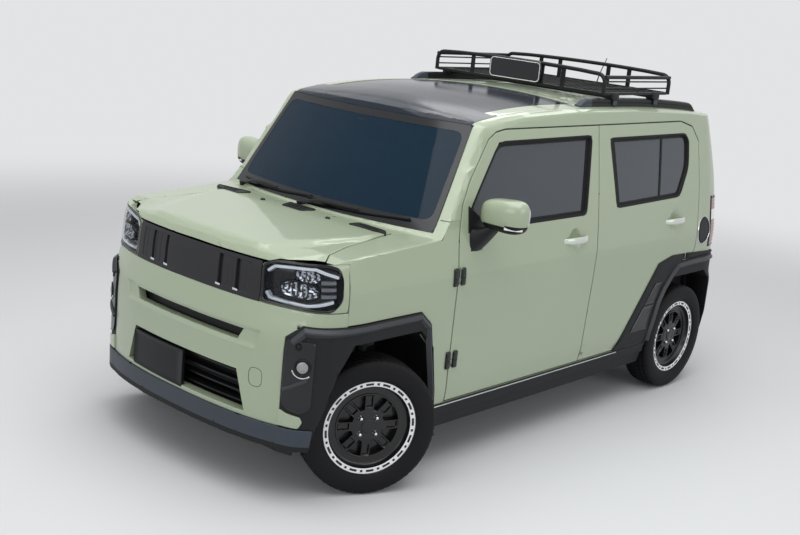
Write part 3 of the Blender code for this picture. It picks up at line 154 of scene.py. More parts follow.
def build_stage():
    """Floor, world and four area lamps, each aimed at the car."""
    mesh = bpy.data.meshes.new("floor")
    span = 40.0
    corners = np.array([(-span, -span, 0), (span, -span, 0), (span, span, 0), (-span, span, 0)])
    mesh.from_pydata(corners.tolist(), [], [(0, 1, 2, 3)])
    floor = bpy.data.objects.new("floor", mesh)
    scene.collection.objects.link(floor)
    ground = new_material("studio_floor", FLOOR_COLOUR, 0.8)
    fade_to_backdrop(ground)
    mesh.materials.append(ground)
    world = bpy.data.worlds.new("studio")
    scene.world = world
    world.use_nodes = True
    nodes, links = world.node_tree.nodes, world.node_tree.links
    nodes.clear()
    out = nodes.new("ShaderNodeOutputWorld")
    mix = nodes.new("ShaderNodeMixShader")
    seen, lit = nodes.new("ShaderNodeBackground"), nodes.new("ShaderNodeBackground")
    seen.inputs["Color"].default_value = (*BACKDROP, 1.0)
    seen.inputs["Strength"].default_value = BACKDROP_STRENGTH
    lit.inputs["Color"].default_value = (0.93, 0.96, 1.0, 1.0)
    lit.inputs["Strength"].default_value = AMBIENT
    links.new(seen_directly(nodes, links), mix.inputs["Fac"])
    links.new(lit.outputs[0], mix.inputs[1])
    links.new(seen.outputs[0], mix.inputs[2])
    links.new(mix.outputs[0], out.inputs["Surface"])
    for name, at, aim, size, power in (
            ("overhead", (0.6, -1.0, 5.2), (0.0, 0.1, 0.6), (5.5, 6.5), 250.0),
            ("front_fill", (0.5, -7.5, 2.6), (0.0, 0.0, 0.7), (5.0, 2.4), 70.0),
            ("side_fill", (7.5, 0.6, 2.8), (0.0, 0.0, 0.8), (6.0, 2.4), 90.0),
            ("rear_fill", (-3.0, 6.0, 6.0), (0.0, 0.0, 0.8), (5.0, 2.4), 70.0)):
        data = bpy.data.lights.new(name, "AREA")
        data.shape = "RECTANGLE"
        data.size, data.size_y = size
        data.energy = power
        lamp = bpy.data.objects.new(name, data)
        scene.collection.objects.link(lamp)
        aim_line = Vector(aim) - Vector(at)
        lamp.matrix_world = Matrix.Translation(at) @ aim_line.to_track_quat("-Z", "Y").to_matrix().to_4x4()
    scene.view_settings.view_transform = "Standard"


build_stage()

# Pressed body: steel panels stamped to one envelope. Each pressing starts as a merged copy of its frame
# node, is divided finely, and its points are carried from the flat facets onto the smooth envelope.

LENGTH = 3.395
BODY_HALF_WIDTH = 0.729
NOSE_Y = -LENGTH / 2
TAIL_Y = LENGTH / 2
WIDTH_Z = np.array((0.15, 0.30, 0.42, 0.88, 0.985, 1.515, 1.75))
WIDTH_DROP = np.array((0.040, 0.012, 0.0, 0.0, 0.012, 0.095, 0.135))
NOSE_Z = np.array((0.15, 0.25, 0.56, 0.70, 0.83, 1.00, 1.06))
NOSE_BACK = np.array((0.022, 0.010, 0.010, 0.014, 0.040, 0.060, 0.085))
TAIL_Z = np.array((0.15, 0.30, 0.58, 0.66, 0.90, 1.15, 1.52, 1.75))
TAIL_BACK = np.array((0.026, 0.0, 0.0, 0.036, 0.040, 0.052, 0.150, 0.230))
LEVELS = np.array((0.15, 0.30, 0.42, 0.60, 0.70, 0.83, 0.90, 0.985, 1.08, 1.20, 1.35, 1.515, 1.75))
SIDE_STATIONS = (-1.22, -0.92, -0.55, -0.15, 0.25, 0.70, 1.14)
REFERENCE_Z = 0.70
TAIL_BOW = 0.060
TABLE_STEPS = 900


def cubic(t, h, a, b, slope_a, slope_b):
    """Value at the share t of a step h from a to b whose slopes at both ends are given."""
    return (a * (1 + 2 * t) * (1 - t) ** 2 + h * slope_a * t * (1 - t) ** 2
            + b * t * t * (3 - 2 * t) - h * slope_b * t * t * (1 - t))


def slopes(x, y):
    """Tangents of a curve through points, each the mean of its two chords weighted by the other's length."""
    step = np.diff(x)
    chord = np.diff(y, axis=-1) / step
    inner = (chord[..., 1:] * step[:-1] + chord[..., :-1] * step[1:]) / (step[:-1] + step[1:])
    return np.concatenate([chord[..., :1], inner, chord[..., -1:]], axis=-1)


def eased(at, x, y):
    """Cubic through the points that never overshoots: its tangents are capped by the smaller chord."""
    chord = np.diff(y) / np.diff(x)
    tangent = slopes(x, y)
    cap = np.zeros_like(tangent)
    same = chord[1:] * chord[:-1] > 0
    cap[1:-1] = np.where(same, 3 * np.minimum(abs(chord[1:]), abs(chord[:-1])), 0.0)
    cap[0], cap[-1] = abs(chord[0]), abs(chord[-1])
    tangent = np.sign(tangent) * np.minimum(abs(tangent), cap)
    at = np.clip(at, x[0], x[-1])
    i = np.clip(np.searchsorted(x, at) - 1, 0, len(x) - 2)
    h = x[i + 1] - x[i]
    t = (at - x[i]) / h
    return cubic(t, h, y[i], y[i + 1], tangent[i], tangent[i + 1])


def plan_points(z, smooth=True):
    """Points of the half outline seen from above at the heights z, from nose to tail: shape (n, 23, 2)."""
    profile = eased if smooth else np.interp
    width = BODY_HALF_WIDTH - profile(z, WIDTH_Z, WIDTH_DROP)
    nose = NOSE_Y + profile(z, NOSE_Z, NOSE_BACK)
    tail = TAIL_Y - profile(z, TAIL_Z, TAIL_BACK)
    rows = []

    def nose_line(x):
        return nose + 0.109 * x ** 2 + 0.341 * x ** 4

    def taper(y):
        return width - 0.006 * (y / 1.3) ** 2

    def arc(a, b, c, shares):
        return [[(1 - t) ** 2 * a[k] + 2 * t * (1 - t) * b[k] + t * t * c[k] for k in (0, 1)] for t in shares]

    turn_in = width - 0.085
    a = (turn_in, nose_line(turn_in))
    b = (width - 0.016, nose_line(turn_in) + 0.045)
    c = (taper(-1.36), -1.36 + 0 * z)
    for share in (0.0, 0.35, 0.65, 0.85):
        rows.append((share * turn_in, nose_line(share * turn_in)))
    rows += arc(a, b, c, (0.0, 0.25, 0.5, 0.75, 1.0))
    for y in SIDE_STATIONS:
        rows.append((taper(y), y + 0 * z))
    turn_out = width - 0.090
    end = tail - TAIL_BOW * turn_out ** 2
    a = (taper(1.40), np.minimum(1.40, tail - 0.16))
    b = (width - 0.004, end)
    c = (turn_out, end)
    rows += arc(a, b, c, (0.0, 0.3, 0.55, 0.8, 1.0))
    for share in (0.55, 0.0):
        rows.append((share * turn_out, tail - TAIL_BOW * (share * turn_out) ** 2))
    return np.moveaxis(np.array([[np.broadcast_to(v, z.shape) for v in row] for row in rows]), 2, 0)


PLAN_AT_REFERENCE = plan_points(np.array([REFERENCE_Z]))[0]
PLAN_S = np.concatenate([[0.0], np.cumsum(np.linalg.norm(np.diff(PLAN_AT_REFERENCE, axis=0), axis=1))])
LEVEL_POINTS = plan_points(LEVELS, smooth=False)


def wall_plan(s, z):
    """Place (x, y) on the smooth wall at arc length s from the nose middle and height z."""
    s, z = np.broadcast_arrays(np.asarray(s, float), np.asarray(z, float))
    points = plan_points(z.ravel())
    mirrored = points[:, 1:2] * np.array((-1, 1))
    beyond = points[:, -2:-1] * np.array((-1, 1))
    points = np.concatenate([mirrored, points, beyond], axis=1)
    knots = np.concatenate([[-PLAN_S[1]], PLAN_S, [2 * PLAN_S[-1] - PLAN_S[-2]]])
    tangents = np.moveaxis(slopes(knots, np.moveaxis(points, 1, 2)), 1, 2)
    at = abs(s).ravel()
    i = np.clip(np.searchsorted(knots, at) - 1, 0, len(knots) - 2)
    row = np.arange(len(at))
    h = (knots[i + 1] - knots[i])[:, None]
    t = ((at - knots[i]) / h[:, 0])[:, None]
    place = cubic(t, h, points[row, i], points[row, i + 1], tangents[row, i], tangents[row, i + 1])
    place[:, 0] *= np.where(s.ravel() < 0, -1.0, 1.0)
    return place.reshape(*s.shape, 2)


def wall(s, z, proud=0.0):
    """Point of the smooth wall, moved outwards along its normal by a distance."""
    s, z, proud = np.broadcast_arrays(np.asarray(s, float), np.asarray(z, float), np.asarray(proud, float))
    place = np.concatenate([wall_plan(s, z), z[..., None]], axis=-1)
    small = 1e-4
    along = np.concatenate([wall_plan(s + small, z) - wall_plan(s - small, z), np.zeros((*s.shape, 1))],
                           axis=-1)
    rise = np.concatenate([wall_plan(s, z + small) - wall_plan(s, z - small),
                           np.full((*s.shape, 1), 2 * small)], axis=-1)
    normal = np.cross(along, rise)
    normal /= np.linalg.norm(normal, axis=-1)[..., None]
    return place + normal * proud[..., None]


TAIL_FROM_Y = 1.45
S_TABLE = np.linspace(0.0, PLAN_S[-1], TABLE_STEPS)


def s_of_y(y, z):
    """Arc length on the left side whose point at height z lies at y."""
    return float(np.interp(y, wall_plan(S_TABLE, np.full(TABLE_STEPS, z))[:, 1], S_TABLE))


def s_of_tail_x(x, z):
    """Arc length on the tail whose point at height z lies at x."""
    table = wall_plan(S_TABLE, np.full(TABLE_STEPS, z))
    behind = table[:, 1] > TAIL_FROM_Y
    order = np.argsort(table[behind, 0])
    return float(np.sign(x) * np.interp(abs(x), table[behind, 0][order], S_TABLE[behind][order]))


def facet_place(points):
    """Arc length of each point's foot on the faceted plan at its height, and the facet's place there."""
    z = np.clip(points[:, 2], LEVELS[0], LEVELS[-1])
    i = np.clip(np.searchsorted(LEVELS, z) - 1, 0, len(LEVELS) - 2)
    share = ((z - LEVELS[i]) / (LEVELS[i + 1] - LEVELS[i]))[:, None, None]
    plan = LEVEL_POINTS[i] * (1 - share) + LEVEL_POINTS[i + 1] * share
    start, span = plan[:, :-1], np.diff(plan, axis=1)
    at = np.stack([abs(points[:, 0]), points[:, 1]], axis=1)[:, None]
    t = np.clip(np.sum((at - start) * span, axis=2) / np.sum(span * span, axis=2), 0, 1)
    foot = start + span * t[..., None]
    near = np.linalg.norm(foot - at, axis=2)
    best = np.argmin(near, axis=1)
    row = np.arange(len(points))
    s = PLAN_S[best] + t[row, best] * (PLAN_S[best + 1] - PLAN_S[best])
    return s, foot[row, best], near[row, best]


def edge_drop(x, edge, radius):
    """Drop of a rounded edge at x, and a steep fall beyond it."""
    into = np.clip(abs(x) - (edge - radius), 0.0, radius)
    return radius - np.sqrt(radius ** 2 - into ** 2) + 3.0 * np.maximum(abs(x) - edge, 0.0)


ROOF_Y = np.array((-0.70, -0.55, -0.30, 0.15, 0.70, 1.25, 1.60))
ROOF_Z = np.array((1.545, 1.580, 1.612, 1.630, 1.627, 1.604, 1.572))


def roof_top(x, y, profile=eased):
    """Height of the roof: its long profile less a crown that grows with the square of x."""
    return profile(y, ROOF_Y, ROOF_Z) - 0.035 * (x / 0.58) ** 2 - edge_drop(x, 0.640, 0.045)


TOP_COLUMNS = np.array((0.0, 0.18, 0.36, 0.50, 0.575, 0.60, 0.62, 0.64, 0.67, 0.69, 0.705, 0.722, 0.80))
TOP_ROWS = np.array((-1.80, -1.634, -1.62, -1.60, -1.575, -1.45, -1.25, -1.08, -0.99, -0.95, -0.80, -0.68,
                     -0.655, -0.60, -0.50, -0.30, 0.15, 0.70, 1.25, 1.50, 1.80))
TOP_BOWS = np.array((0, 0, 0, 0, 0, 0, 0, 0.6, 1, 1, 1, 1, 1, 1, 0.8, 0.3, 0, 0, 0, 0, 0))
GLASS_BOW = 0.223
SKIN_DEEP, SKIN_FADE, SKIN_TOP_Z = 0.16, 0.06, 1.60
ROOF_FROM_Y, ROOF_FROM_Z, ROOF_TO_X = -0.58, 1.50, 0.600
PILLAR_X, PILLAR_Y, PILLAR_Z = 0.56, -0.42, (1.10, 1.60)


def smoothed(points):
    """Move points from the faceted envelope to the smooth one, by the difference of the two at each place."""
    moved = points.copy()
    s, foot, depth = facet_place(points)
    change = wall_plan(s, points[:, 2]) - foot
    weight = np.clip((SKIN_DEEP - depth) / SKIN_FADE, 0, 1) * (points[:, 2] < SKIN_TOP_Z)
    side = np.where(points[:, 0] < 0, -1.0, 1.0)
    moved[:, 0] += side * change[:, 0] * weight
    moved[:, 1] += change[:, 1] * weight
    x, y = abs(points[:, 0]), points[:, 1]
    behind = (y > ROOF_FROM_Y) & (points[:, 2] > ROOF_FROM_Z) & (x < ROOF_TO_X)
    straight = y
    for _ in range(4):
        straight = y - np.interp(straight, TOP_ROWS, TOP_BOWS) * GLASS_BOW * x ** 2
    column = np.clip(np.searchsorted(TOP_COLUMNS, x) - 1, 0, len(TOP_COLUMNS) - 2)
    row = np.clip(np.searchsorted(TOP_ROWS, straight) - 1, 0, len(TOP_ROWS) - 2)
    u = (x - TOP_COLUMNS[column]) / (TOP_COLUMNS[column + 1] - TOP_COLUMNS[column])
    v = (straight - TOP_ROWS[row]) / (TOP_ROWS[row + 1] - TOP_ROWS[row])
    flat = 0.0
    for du, share_u in ((0, 1 - u), (1, u)):
        for dv, share_v in ((0, 1 - v), (1, v)):
            at_x = TOP_COLUMNS[column + du]
            at_y = TOP_ROWS[row + dv] + TOP_BOWS[row + dv] * GLASS_BOW * at_x ** 2
            flat = flat + share_u * share_v * roof_top(at_x, at_y, np.interp)
    moved[:, 2] += np.where(behind, roof_top(x, y) - flat, 0.0)
    return moved


def merged_copy(node):
    """A bmesh of a frame node with its doubles merged and its flat neighbours joined."""
    mesh = bmesh.new()
    mesh.from_mesh(frame["nodes"][node].data)
    bmesh.ops.remove_doubles(mesh, verts=mesh.verts, dist=2e-5)
    bmesh.ops.dissolve_limit(mesh, angle_limit=math.radians(0.2), verts=mesh.verts, edges=mesh.edges)
    return mesh


def divide(mesh, step, low=None, high=None):
    """Slice a bmesh by planes a step apart along each axis, all over or between two corners."""
    places = np.array([v.co for v in mesh.verts])
    for axis in range(3):
        start = places[:, axis].min() if low is None else low[axis]
        stop = places[:, axis].max() if high is None else high[axis]
        count = max(int((stop - start) / step), 1)
        normal = [0, 0, 0]
        normal[axis] = 1
        for at in np.linspace(start, stop, count + 1)[1:-1]:
            faces = mesh.faces[:]
            if low is not None:
                faces = [face for face in faces
                         if all(low[k] < face.calc_center_bounds()[k] < high[k] for k in range(3))]
            edges, verts = {e for f in faces for e in f.edges}, {v for f in faces for v in f.verts}
            bmesh.ops.bisect_plane(mesh, geom=faces + list(edges) + list(verts), dist=1e-5,
                                   plane_co=[at if k == axis else 0 for k in range(3)], plane_no=normal)


def settle(obj, material, body, slot, *nodes, bevel=0.0022, sharp=35.0):
    """Round the edges, shade, give the finish, ride on the body and stand for frame nodes."""
    mesh = obj.data
    for finish in (material if isinstance(material, (list, tuple)) else (material,)):
        mesh.materials.append(finish)
    mesh.shade_smooth()
    if bevel:
        rounding = obj.modifiers.new("rolled_edges", "BEVEL")
        rounding.width = bevel
        rounding.segments = 2
        rounding.limit_method = "ANGLE"
        rounding.angle_limit = math.radians(sharp)
        rounding.use_clamp_overlap = False
        even = obj.modifiers.new("even_shading", "WEIGHTED_NORMAL")
        even.keep_sharp = True
    else:
        mesh.set_sharp_from_angle(angle=math.radians(sharp))
    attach(obj, body)
    if nodes:
        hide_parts(*nodes)
    return obj


def object_from(mesh, name):
    """An object in the scene made of a bmesh."""
    data = bpy.data.meshes.new(name)
    mesh.to_mesh(data)
    mesh.free()
    obj = bpy.data.objects.new(name, data)
    scene.collection.objects.link(obj)
    return obj


def pillar_eased(mesh):
    """Relax the windscreen pillar: its points whose faces nearly agree move to their neighbours' mean."""
    around = []
    for vert in mesh.verts:
        x, y, z = abs(vert.co.x), vert.co.y, vert.co.z
        if not (x > PILLAR_X and y < PILLAR_Y and PILLAR_Z[0] < z < PILLAR_Z[1]) or not vert.link_faces:
            continue
        mean = sum((face.normal for face in vert.link_faces), Vector())
        if mean.length > 1e-6 and min(face.normal.dot(mean.normalized()) for face in vert.link_faces) > 0.80:
            around.append(vert)
    for _ in range(8):
        bmesh.ops.smooth_vert(mesh, verts=around, factor=0.5, use_axis_x=True, use_axis_y=True,
                              use_axis_z=True)


def pressing(node, name, step=0.022, shape=None, fine=(), before=None):
    """The smooth form of a frame node; shape moves its points further, fine lists boxes cut to 6 mm."""
    mesh = merged_copy(node)
    if before:
        before(mesh)
    divide(mesh, step)
    for low, high in fine:
        divide(mesh, 0.006, low, high)
    places = np.array([v.co for v in mesh.verts])
    moved = smoothed(places)
    if shape:
        moved = shape(moved)
    for vert, place in zip(mesh.verts, moved):
        vert.co = place
    bmesh.ops.remove_doubles(mesh, verts=mesh.verts, dist=3e-4)
    mesh.normal_update()
    pillar_eased(mesh)
    return object_from(mesh, name)


def other_side(obj, name):
    """The mirrored mesh for the car's right side, its faces turned to stay outwards."""
    data = obj.data.copy()
    places = np.empty(len(data.vertices) * 3, np.float32)
    data.vertices.foreach_get("co", places)
    places[0::3] *= -1
    data.vertices.foreach_set("co", places)
    data.flip_normals()
    data.materials.clear()
    made = bpy.data.objects.new(name, data)
    scene.collection.objects.link(made)
    return made


def on_both_sides(obj, material, body, slot, *nodes, **settings):
    """Settle a left-hand piece and its mirrored twin; names and bodies end in left or right."""
    twin = other_side(obj, obj.name.replace("left", "right"))
    settle(obj, material, body, slot, *nodes, **settings)
    settle(twin, material, body.replace("left", "right"), slot,
           *[node.replace("left", "right") for node in nodes], **settings)
    return obj, twin


def face_values(obj, key):
    """The centre or the normal of each face."""
    values = np.empty(len(obj.data.polygons) * 3, np.float32)
    obj.data.polygons.foreach_get(key, values)
    return values.reshape(-1, 3)


def finish_by(obj, rule):
    """Give each face the finish whose number the rule works out from its centre."""
    numbers = rule(face_values(obj, "center")).astype(np.int32)
    obj.data.polygons.foreach_set("material_index", numbers)


def grain_group():
    """Node group: mixes two tones by noise, and gives a bumped normal and a varied roughness."""
    group = bpy.data.node_groups.new("surface_grain", "ShaderNodeTree")
    face = group.interface
    for name, kind, value in (("Vector", "NodeSocketVector", None), ("Tone A", "NodeSocketColor", None),
                              ("Tone B", "NodeSocketColor", None), ("Patch Scale", "NodeSocketFloat", 3.0),
                              ("Grain Scale", "NodeSocketFloat", 300.0), ("Bump", "NodeSocketFloat", 0.1),
                              ("Roughness", "NodeSocketFloat", 0.5), ("Spread", "NodeSocketFloat", 0.1)):
        socket = face.new_socket(name, in_out="INPUT", socket_type=kind)
        if value is not None:
            socket.default_value = value
    for name, kind in (("Color", "NodeSocketColor"), ("Roughness", "NodeSocketFloat"),
                       ("Normal", "NodeSocketVector")):
        face.new_socket(name, in_out="OUTPUT", socket_type=kind)
    nodes, links = group.nodes, group.links
    enter, leave = nodes.new("NodeGroupInput"), nodes.new("NodeGroupOutput")
    patch, grain = nodes.new("ShaderNodeTexNoise"), nodes.new("ShaderNodeTexNoise")
    for texture, scale, detail in ((patch, "Patch Scale", 4.0), (grain, "Grain Scale", 2.0)):
        links.new(enter.outputs["Vector"], texture.inputs["Vector"])
        links.new(enter.outputs[scale], texture.inputs["Scale"])
        texture.inputs["Detail"].default_value = detail
    mix = nodes.new("ShaderNodeMix")
    mix.data_type = "RGBA"
    links.new(patch.outputs["Fac"], mix.inputs[0])
    links.new(enter.outputs["Tone A"], mix.inputs[6])
    links.new(enter.outputs["Tone B"], mix.inputs[7])
    links.new(mix.outputs[2], leave.inputs["Color"])
    centred = nodes.new("ShaderNodeMath")
    centred.operation = "SUBTRACT"
    links.new(patch.outputs["Fac"], centred.inputs[0])
    centred.inputs[1].default_value = 0.5
    spread = nodes.new("ShaderNodeMath")
    spread.operation = "MULTIPLY_ADD"
    links.new(centred.outputs[0], spread.inputs[0])
    links.new(enter.outputs["Spread"], spread.inputs[1])
    links.new(enter.outputs["Roughness"], spread.inputs[2])
    links.new(spread.outputs[0], leave.inputs["Roughness"])
    bump = nodes.new("ShaderNodeBump")
    bump.inputs["Distance"].default_value = 0.0004
    links.new(enter.outputs["Bump"], bump.inputs["Strength"])
    links.new(grain.outputs["Fac"], bump.inputs["Height"])
    links.new(bump.outputs["Normal"], leave.inputs["Normal"])
    return group


GRAIN = grain_group()


def grained(name, tone_a, tone_b, roughness, patch=3.0, grain=300.0, bump=0.1, spread=0.1, **settings):
    """A Principled material whose colour, roughness and normal come from the grain group."""
    made = new_material(name, tone_a, roughness, **settings)
    nodes, links = made.node_tree.nodes, made.node_tree.links
    where = nodes.new("ShaderNodeTexCoord")
    group = nodes.new("ShaderNodeGroup")
    group.node_tree = GRAIN
    links.new(where.outputs["Object"], group.inputs["Vector"])
    group.inputs["Tone A"].default_value = (*tone_a, 1.0)
    group.inputs["Tone B"].default_value = (*tone_b, 1.0)
    for key, value in (("Patch Scale", patch), ("Grain Scale", grain), ("Bump", bump),
                       ("Roughness", roughness), ("Spread", spread)):
        group.inputs[key].default_value = value
    shader = shader_of(made)
    links.new(group.outputs["Color"], shader.inputs["Base Color"])
    links.new(group.outputs["Roughness"], shader.inputs["Roughness"])
    links.new(group.outputs["Normal"], shader.inputs["Normal"])
    return made


SAGE_PAINT = grained("sage_paint", (0.330, 0.390, 0.268), (0.350, 0.410, 0.282), 0.36, patch=1.5, grain=900.0,
                     bump=0.02, spread=0.05, Coat_Weight=0.8, Coat_Roughness=0.04)
ROOF_BLACK = grained("roof_black", (0.009, 0.014, 0.024), (0.012, 0.018, 0.030), 0.16, patch=2.0, grain=900.0,
                     bump=0.01, spread=0.04, Specular_IOR_Level=0.22)
MOULDED_BLACK = grained("moulded_black", (0.007, 0.0075, 0.0085), (0.013, 0.0135, 0.015), 0.58, patch=6.0,
                        grain=650.0, bump=0.25, spread=0.12, Specular_IOR_Level=0.25)
SATIN_BLACK = grained("satin_black", (0.005, 0.0055, 0.006), (0.009, 0.0095, 0.011), 0.42, patch=5.0,
                      grain=500.0, bump=0.12, spread=0.10, Specular_IOR_Level=0.25)
PIANO_BLACK = grained("piano_black", (0.006, 0.007, 0.009), (0.009, 0.010, 0.012), 0.14, patch=3.0,
                      grain=700.0, bump=0.02, spread=0.04, Specular_IOR_Level=0.45)
SLATE = grained("slate_garnish", (0.032, 0.041, 0.054), (0.044, 0.055, 0.072), 0.45, patch=4.0, grain=500.0,
                bump=0.15, spread=0.10, Specular_IOR_Level=0.35)
UNDER_STEEL = grained("under_steel", (0.012, 0.012, 0.013), (0.022, 0.022, 0.022), 0.6, patch=8.0,
                      grain=200.0, bump=0.4, spread=0.2, Specular_IOR_Level=0.25)
BONNET_PLATEAU = np.array(((-1.590, 0.335), (-1.520, 0.395), (-1.400, 0.450), (-1.200, 0.515),
                           (-1.020, 0.560)))


def bonnet_form(places):
    """A plateau 9 mm high whose edge runs in towards the nose, with a soft ramp 45 mm wide."""
    x, y = abs(places[:, 0]), places[:, 1]
    edge = np.interp(y, BONNET_PLATEAU[:, 0], BONNET_PLATEAU[:, 1])
    side = np.clip((edge + 0.022 - x) / 0.045, 0, 1)
    front = np.clip((y + 1.628) / 0.055, 0, 1)
    back = np.clip((-1.012 - y) / 0.10, 0, 1)
    lift = (side * side * (3 - 2 * side)) * (front * front * (3 - 2 * front)) * (0.35 + 0.65 * back)
    moved = places.copy()
    moved[:, 2] += 0.009 * lift * (places[:, 2] > 1.0)
    return moved


def roof_form(places):
    """One long shallow rib on each side of the rear roof."""
    x, y = abs(places[:, 0]), places[:, 1]
    along = np.clip((y - 0.36) / 0.06, 0, 1) * np.clip((1.40 - y) / 0.08, 0, 1)
    rib = np.exp(-((x - 0.38) / 0.045) ** 2)
    moved = places.copy()
    moved[:, 2] += 0.003 * rib * along * (places[:, 2] > 1.56)
    return moved


SKIN_X = 0.7300
SILL_FOOT_Z = 0.296
ARCH_X, ARCH_Y, ARCH_Z = 0.702, 0.83, 0.780
ARCH_FROM_Y = -1.40


def without_trim(mesh):
    """Take the plain mirror, handle and hinge blocks off the skin and close the skin behind them."""
    proud = [v for v in mesh.verts if v.co.x > SKIN_X]
    bmesh.ops.delete(mesh, geom=proud, context="VERTS")
    bmesh.ops.holes_fill(mesh, edges=[e for e in mesh.edges if e.is_boundary], sides=0)


def undersealed(centres):
    """The sill's foot and everything within the wheel arches carry black underseal."""
    x, y, z = centres.T
    inside = (abs(x) < ARCH_X) & (abs(y) > ARCH_Y) & (z < ARCH_Z) & (y > ARCH_FROM_Y)
    return inside | (z < SILL_FOOT_Z)


settle(pressing("bonnet", "bonnet_pressing", shape=bonnet_form), SAGE_PAINT, "bonnet", "green_paint",
       "bonnet")
for node in ("fender_left", "side_frame_left"):
    panel = pressing(node, node.replace("_left", "_pressing_left"), step=0.024, before=without_trim)
    for piece in on_both_sides(panel, (SAGE_PAINT, MOULDED_BLACK), "body", "green_paint", node):
        finish_by(piece, undersealed)
settle(pressing("tailgate", "tailgate_pressing"), SAGE_PAINT, "tailgate", "green_paint", "tailgate")
roof = settle(pressing("roof_panel", "roof_pressing", step=0.022, shape=roof_form), (SAGE_PAINT, ROOF_BLACK),
              "body", "green_paint", "roof_panel")
BLACK_ROOF_REAR_Y = -0.420
upwards = face_values(roof, "normal")[:, 2] > 0.1
finish_by(roof, lambda centres: (centres[:, 1] < BLACK_ROOF_REAR_Y) & upwards)

# Doors: pressed steel skins hung on the pillars, each with a dish pressed in where the handle goes.

HANDLES = {"front": (0.129, 0.973), "rear": (1.096, 0.985)}
DISH_HALF = (0.046, 0.058)
DISH_DEPTH = 0.017


def handle_dish(which):
    """An upright oval dish 17 mm deep behind the handle: depth falls off with the distance squared."""
    y0, z0 = HANDLES[which]
    y0 = y0 - 0.012

    def shape(places):
        reach = ((places[:, 1] - y0) / DISH_HALF[0]) ** 2 + ((places[:, 2] - z0) / DISH_HALF[1]) ** 2
        depth = DISH_DEPTH * np.clip(1 - reach, 0, 1) ** 0.8
        moved = places.copy()
        moved[:, 0] -= depth * (places[:, 0] > 0.705)
        return moved
    return shape


for which in ("front", "rear"):
    y0, z0 = HANDLES[which]
    near = ((0.71, y0 - 0.068, z0 - 0.068), (0.75, y0 + 0.048, z0 + 0.068))
    door = pressing(which + "_door_left", which + "_door_pressing_left", shape=handle_dish(which),
                    fine=(near,), before=without_trim)
    on_both_sides(door, SAGE_PAINT, which + "_door_left", "green_paint", which + "_door_left")

# Seals and frames of the side windows: black rubber and printed glass edges, pushed into the door apertures,
# with the fixed divider bars of the front and rear windows.


def on_side(points):
    """Arc length and height of points given as (y, z) in side view."""
    return np.array([(s_of_y(y, z), z) for y, z in points])


def dense(points, step=0.02, closed=True):
    """Add points along the straight runs of a line so that none is longer than a step."""
    points = np.asarray(points, float)
    after = np.roll(points, -1, axis=0) if closed else points[1:]
    runs = []
    for a, b in zip(points, after):
        count = max(int(np.ceil(np.linalg.norm(b - a) / step)), 1)
        runs.append(a + (b - a) * (np.arange(count) / count)[:, None])
    if not closed:
        runs.append(points[-1:])
    return np.concatenate(runs)


def rounded(corners, radius):
    """Closed outline whose corners are quadratic arcs that start and end a radius from each corner."""
    corners = np.asarray(corners, float)
    radius = np.broadcast_to(radius, len(corners))
    reach = []
    for shift in (1, -1):
        side = np.roll(corners, shift, axis=0) - corners
        share = np.minimum(0.49, radius / np.linalg.norm(side, axis=1))
        reach.append((corners + side * share[:, None])[:, None])
    t = np.linspace(0.0, 1.0, 7)[None, :, None]
    arcs = reach[0] * (1 - t) ** 2 + 2 * corners[:, None] * t * (1 - t) + reach[1] * t * t
    return dense(arcs.reshape(-1, 2))


def box(low_u, low_v, high_u, high_v):
    """Corners of an upright rectangle."""
    return (low_u, low_v), (high_u, low_v), (high_u, high_v), (low_u, high_v)


def outward(line, closed=True):
    """Unit normals of a flat line, pointing out of it where it is closed."""
    ahead, behind = np.roll(line, -1, axis=0) - line, line - np.roll(line, 1, axis=0)
    if not closed:
        ahead[-1], behind[0] = behind[-1], ahead[0]
    ahead = ahead / np.maximum(np.linalg.norm(ahead, axis=1), 1e-9)[:, None]
    behind = behind / np.maximum(np.linalg.norm(behind, axis=1), 1e-9)[:, None]
    along = ahead + behind
    normal = np.stack([along[:, 1], -along[:, 0]], axis=1)
    normal /= np.maximum(np.linalg.norm(normal, axis=1), 1e-9)[:, None]
    after = np.roll(line, -1, axis=0)
    area = np.sum(line[:, 0] * after[:, 1] - after[:, 0] * line[:, 1])
    return normal * (np.sign(area) if closed else 1.0)


def shell(grid, round_u=False, round_v=False, caps=False):
    """Points and faces of a grid of points; round ways close on themselves, caps close the ends."""
    n, m = grid.shape[:2]
    index = np.arange(n * m).reshape(n, m)
    wide = np.concatenate([index, index[:1]]) if round_u else index
    wide = np.concatenate([wide, wide[:, :1]], axis=1) if round_v else wide
    faces = np.stack([wide[:-1, :-1], wide[1:, :-1], wide[1:, 1:], wide[:-1, 1:]], axis=-1)
    faces = faces.reshape(-1, 4).tolist()
    if caps:
        faces += [index[0].tolist(), index[-1].tolist()]
    return grid.reshape(-1, 3), faces


def slab(front, back):
    """Three shells: two grids of the same size and the strip that joins their edges."""
    edge = [np.concatenate([layer[:, 0], layer[-1, 1:], layer[-2::-1, -1],
                            layer[0, -2:0:-1]]) for layer in (front, back)]
    return [shell(front), shell(back), shell(np.array(edge), round_v=True)]


def assembled(name, *shells):
    """One object of several shells, their doubles merged and their faces turned outwards."""
    points, faces, count = [], [], 0
    for places, cells in shells:
        points.append(places)
        faces += [[corner + count for corner in cell] for cell in cells]
        count += len(places)
    data = bpy.data.meshes.new(name)
    data.from_pydata(np.concatenate(points).tolist(), [], faces)
    mesh = bmesh.new()
    mesh.from_mesh(data)
    bmesh.ops.remove_doubles(mesh, verts=mesh.verts, dist=2e-6)
    bmesh.ops.recalc_face_normals(mesh, faces=mesh.faces)
    mesh.to_mesh(data)
    mesh.free()
    obj = bpy.data.objects.new(name, data)
    scene.collection.objects.link(obj)
    return obj


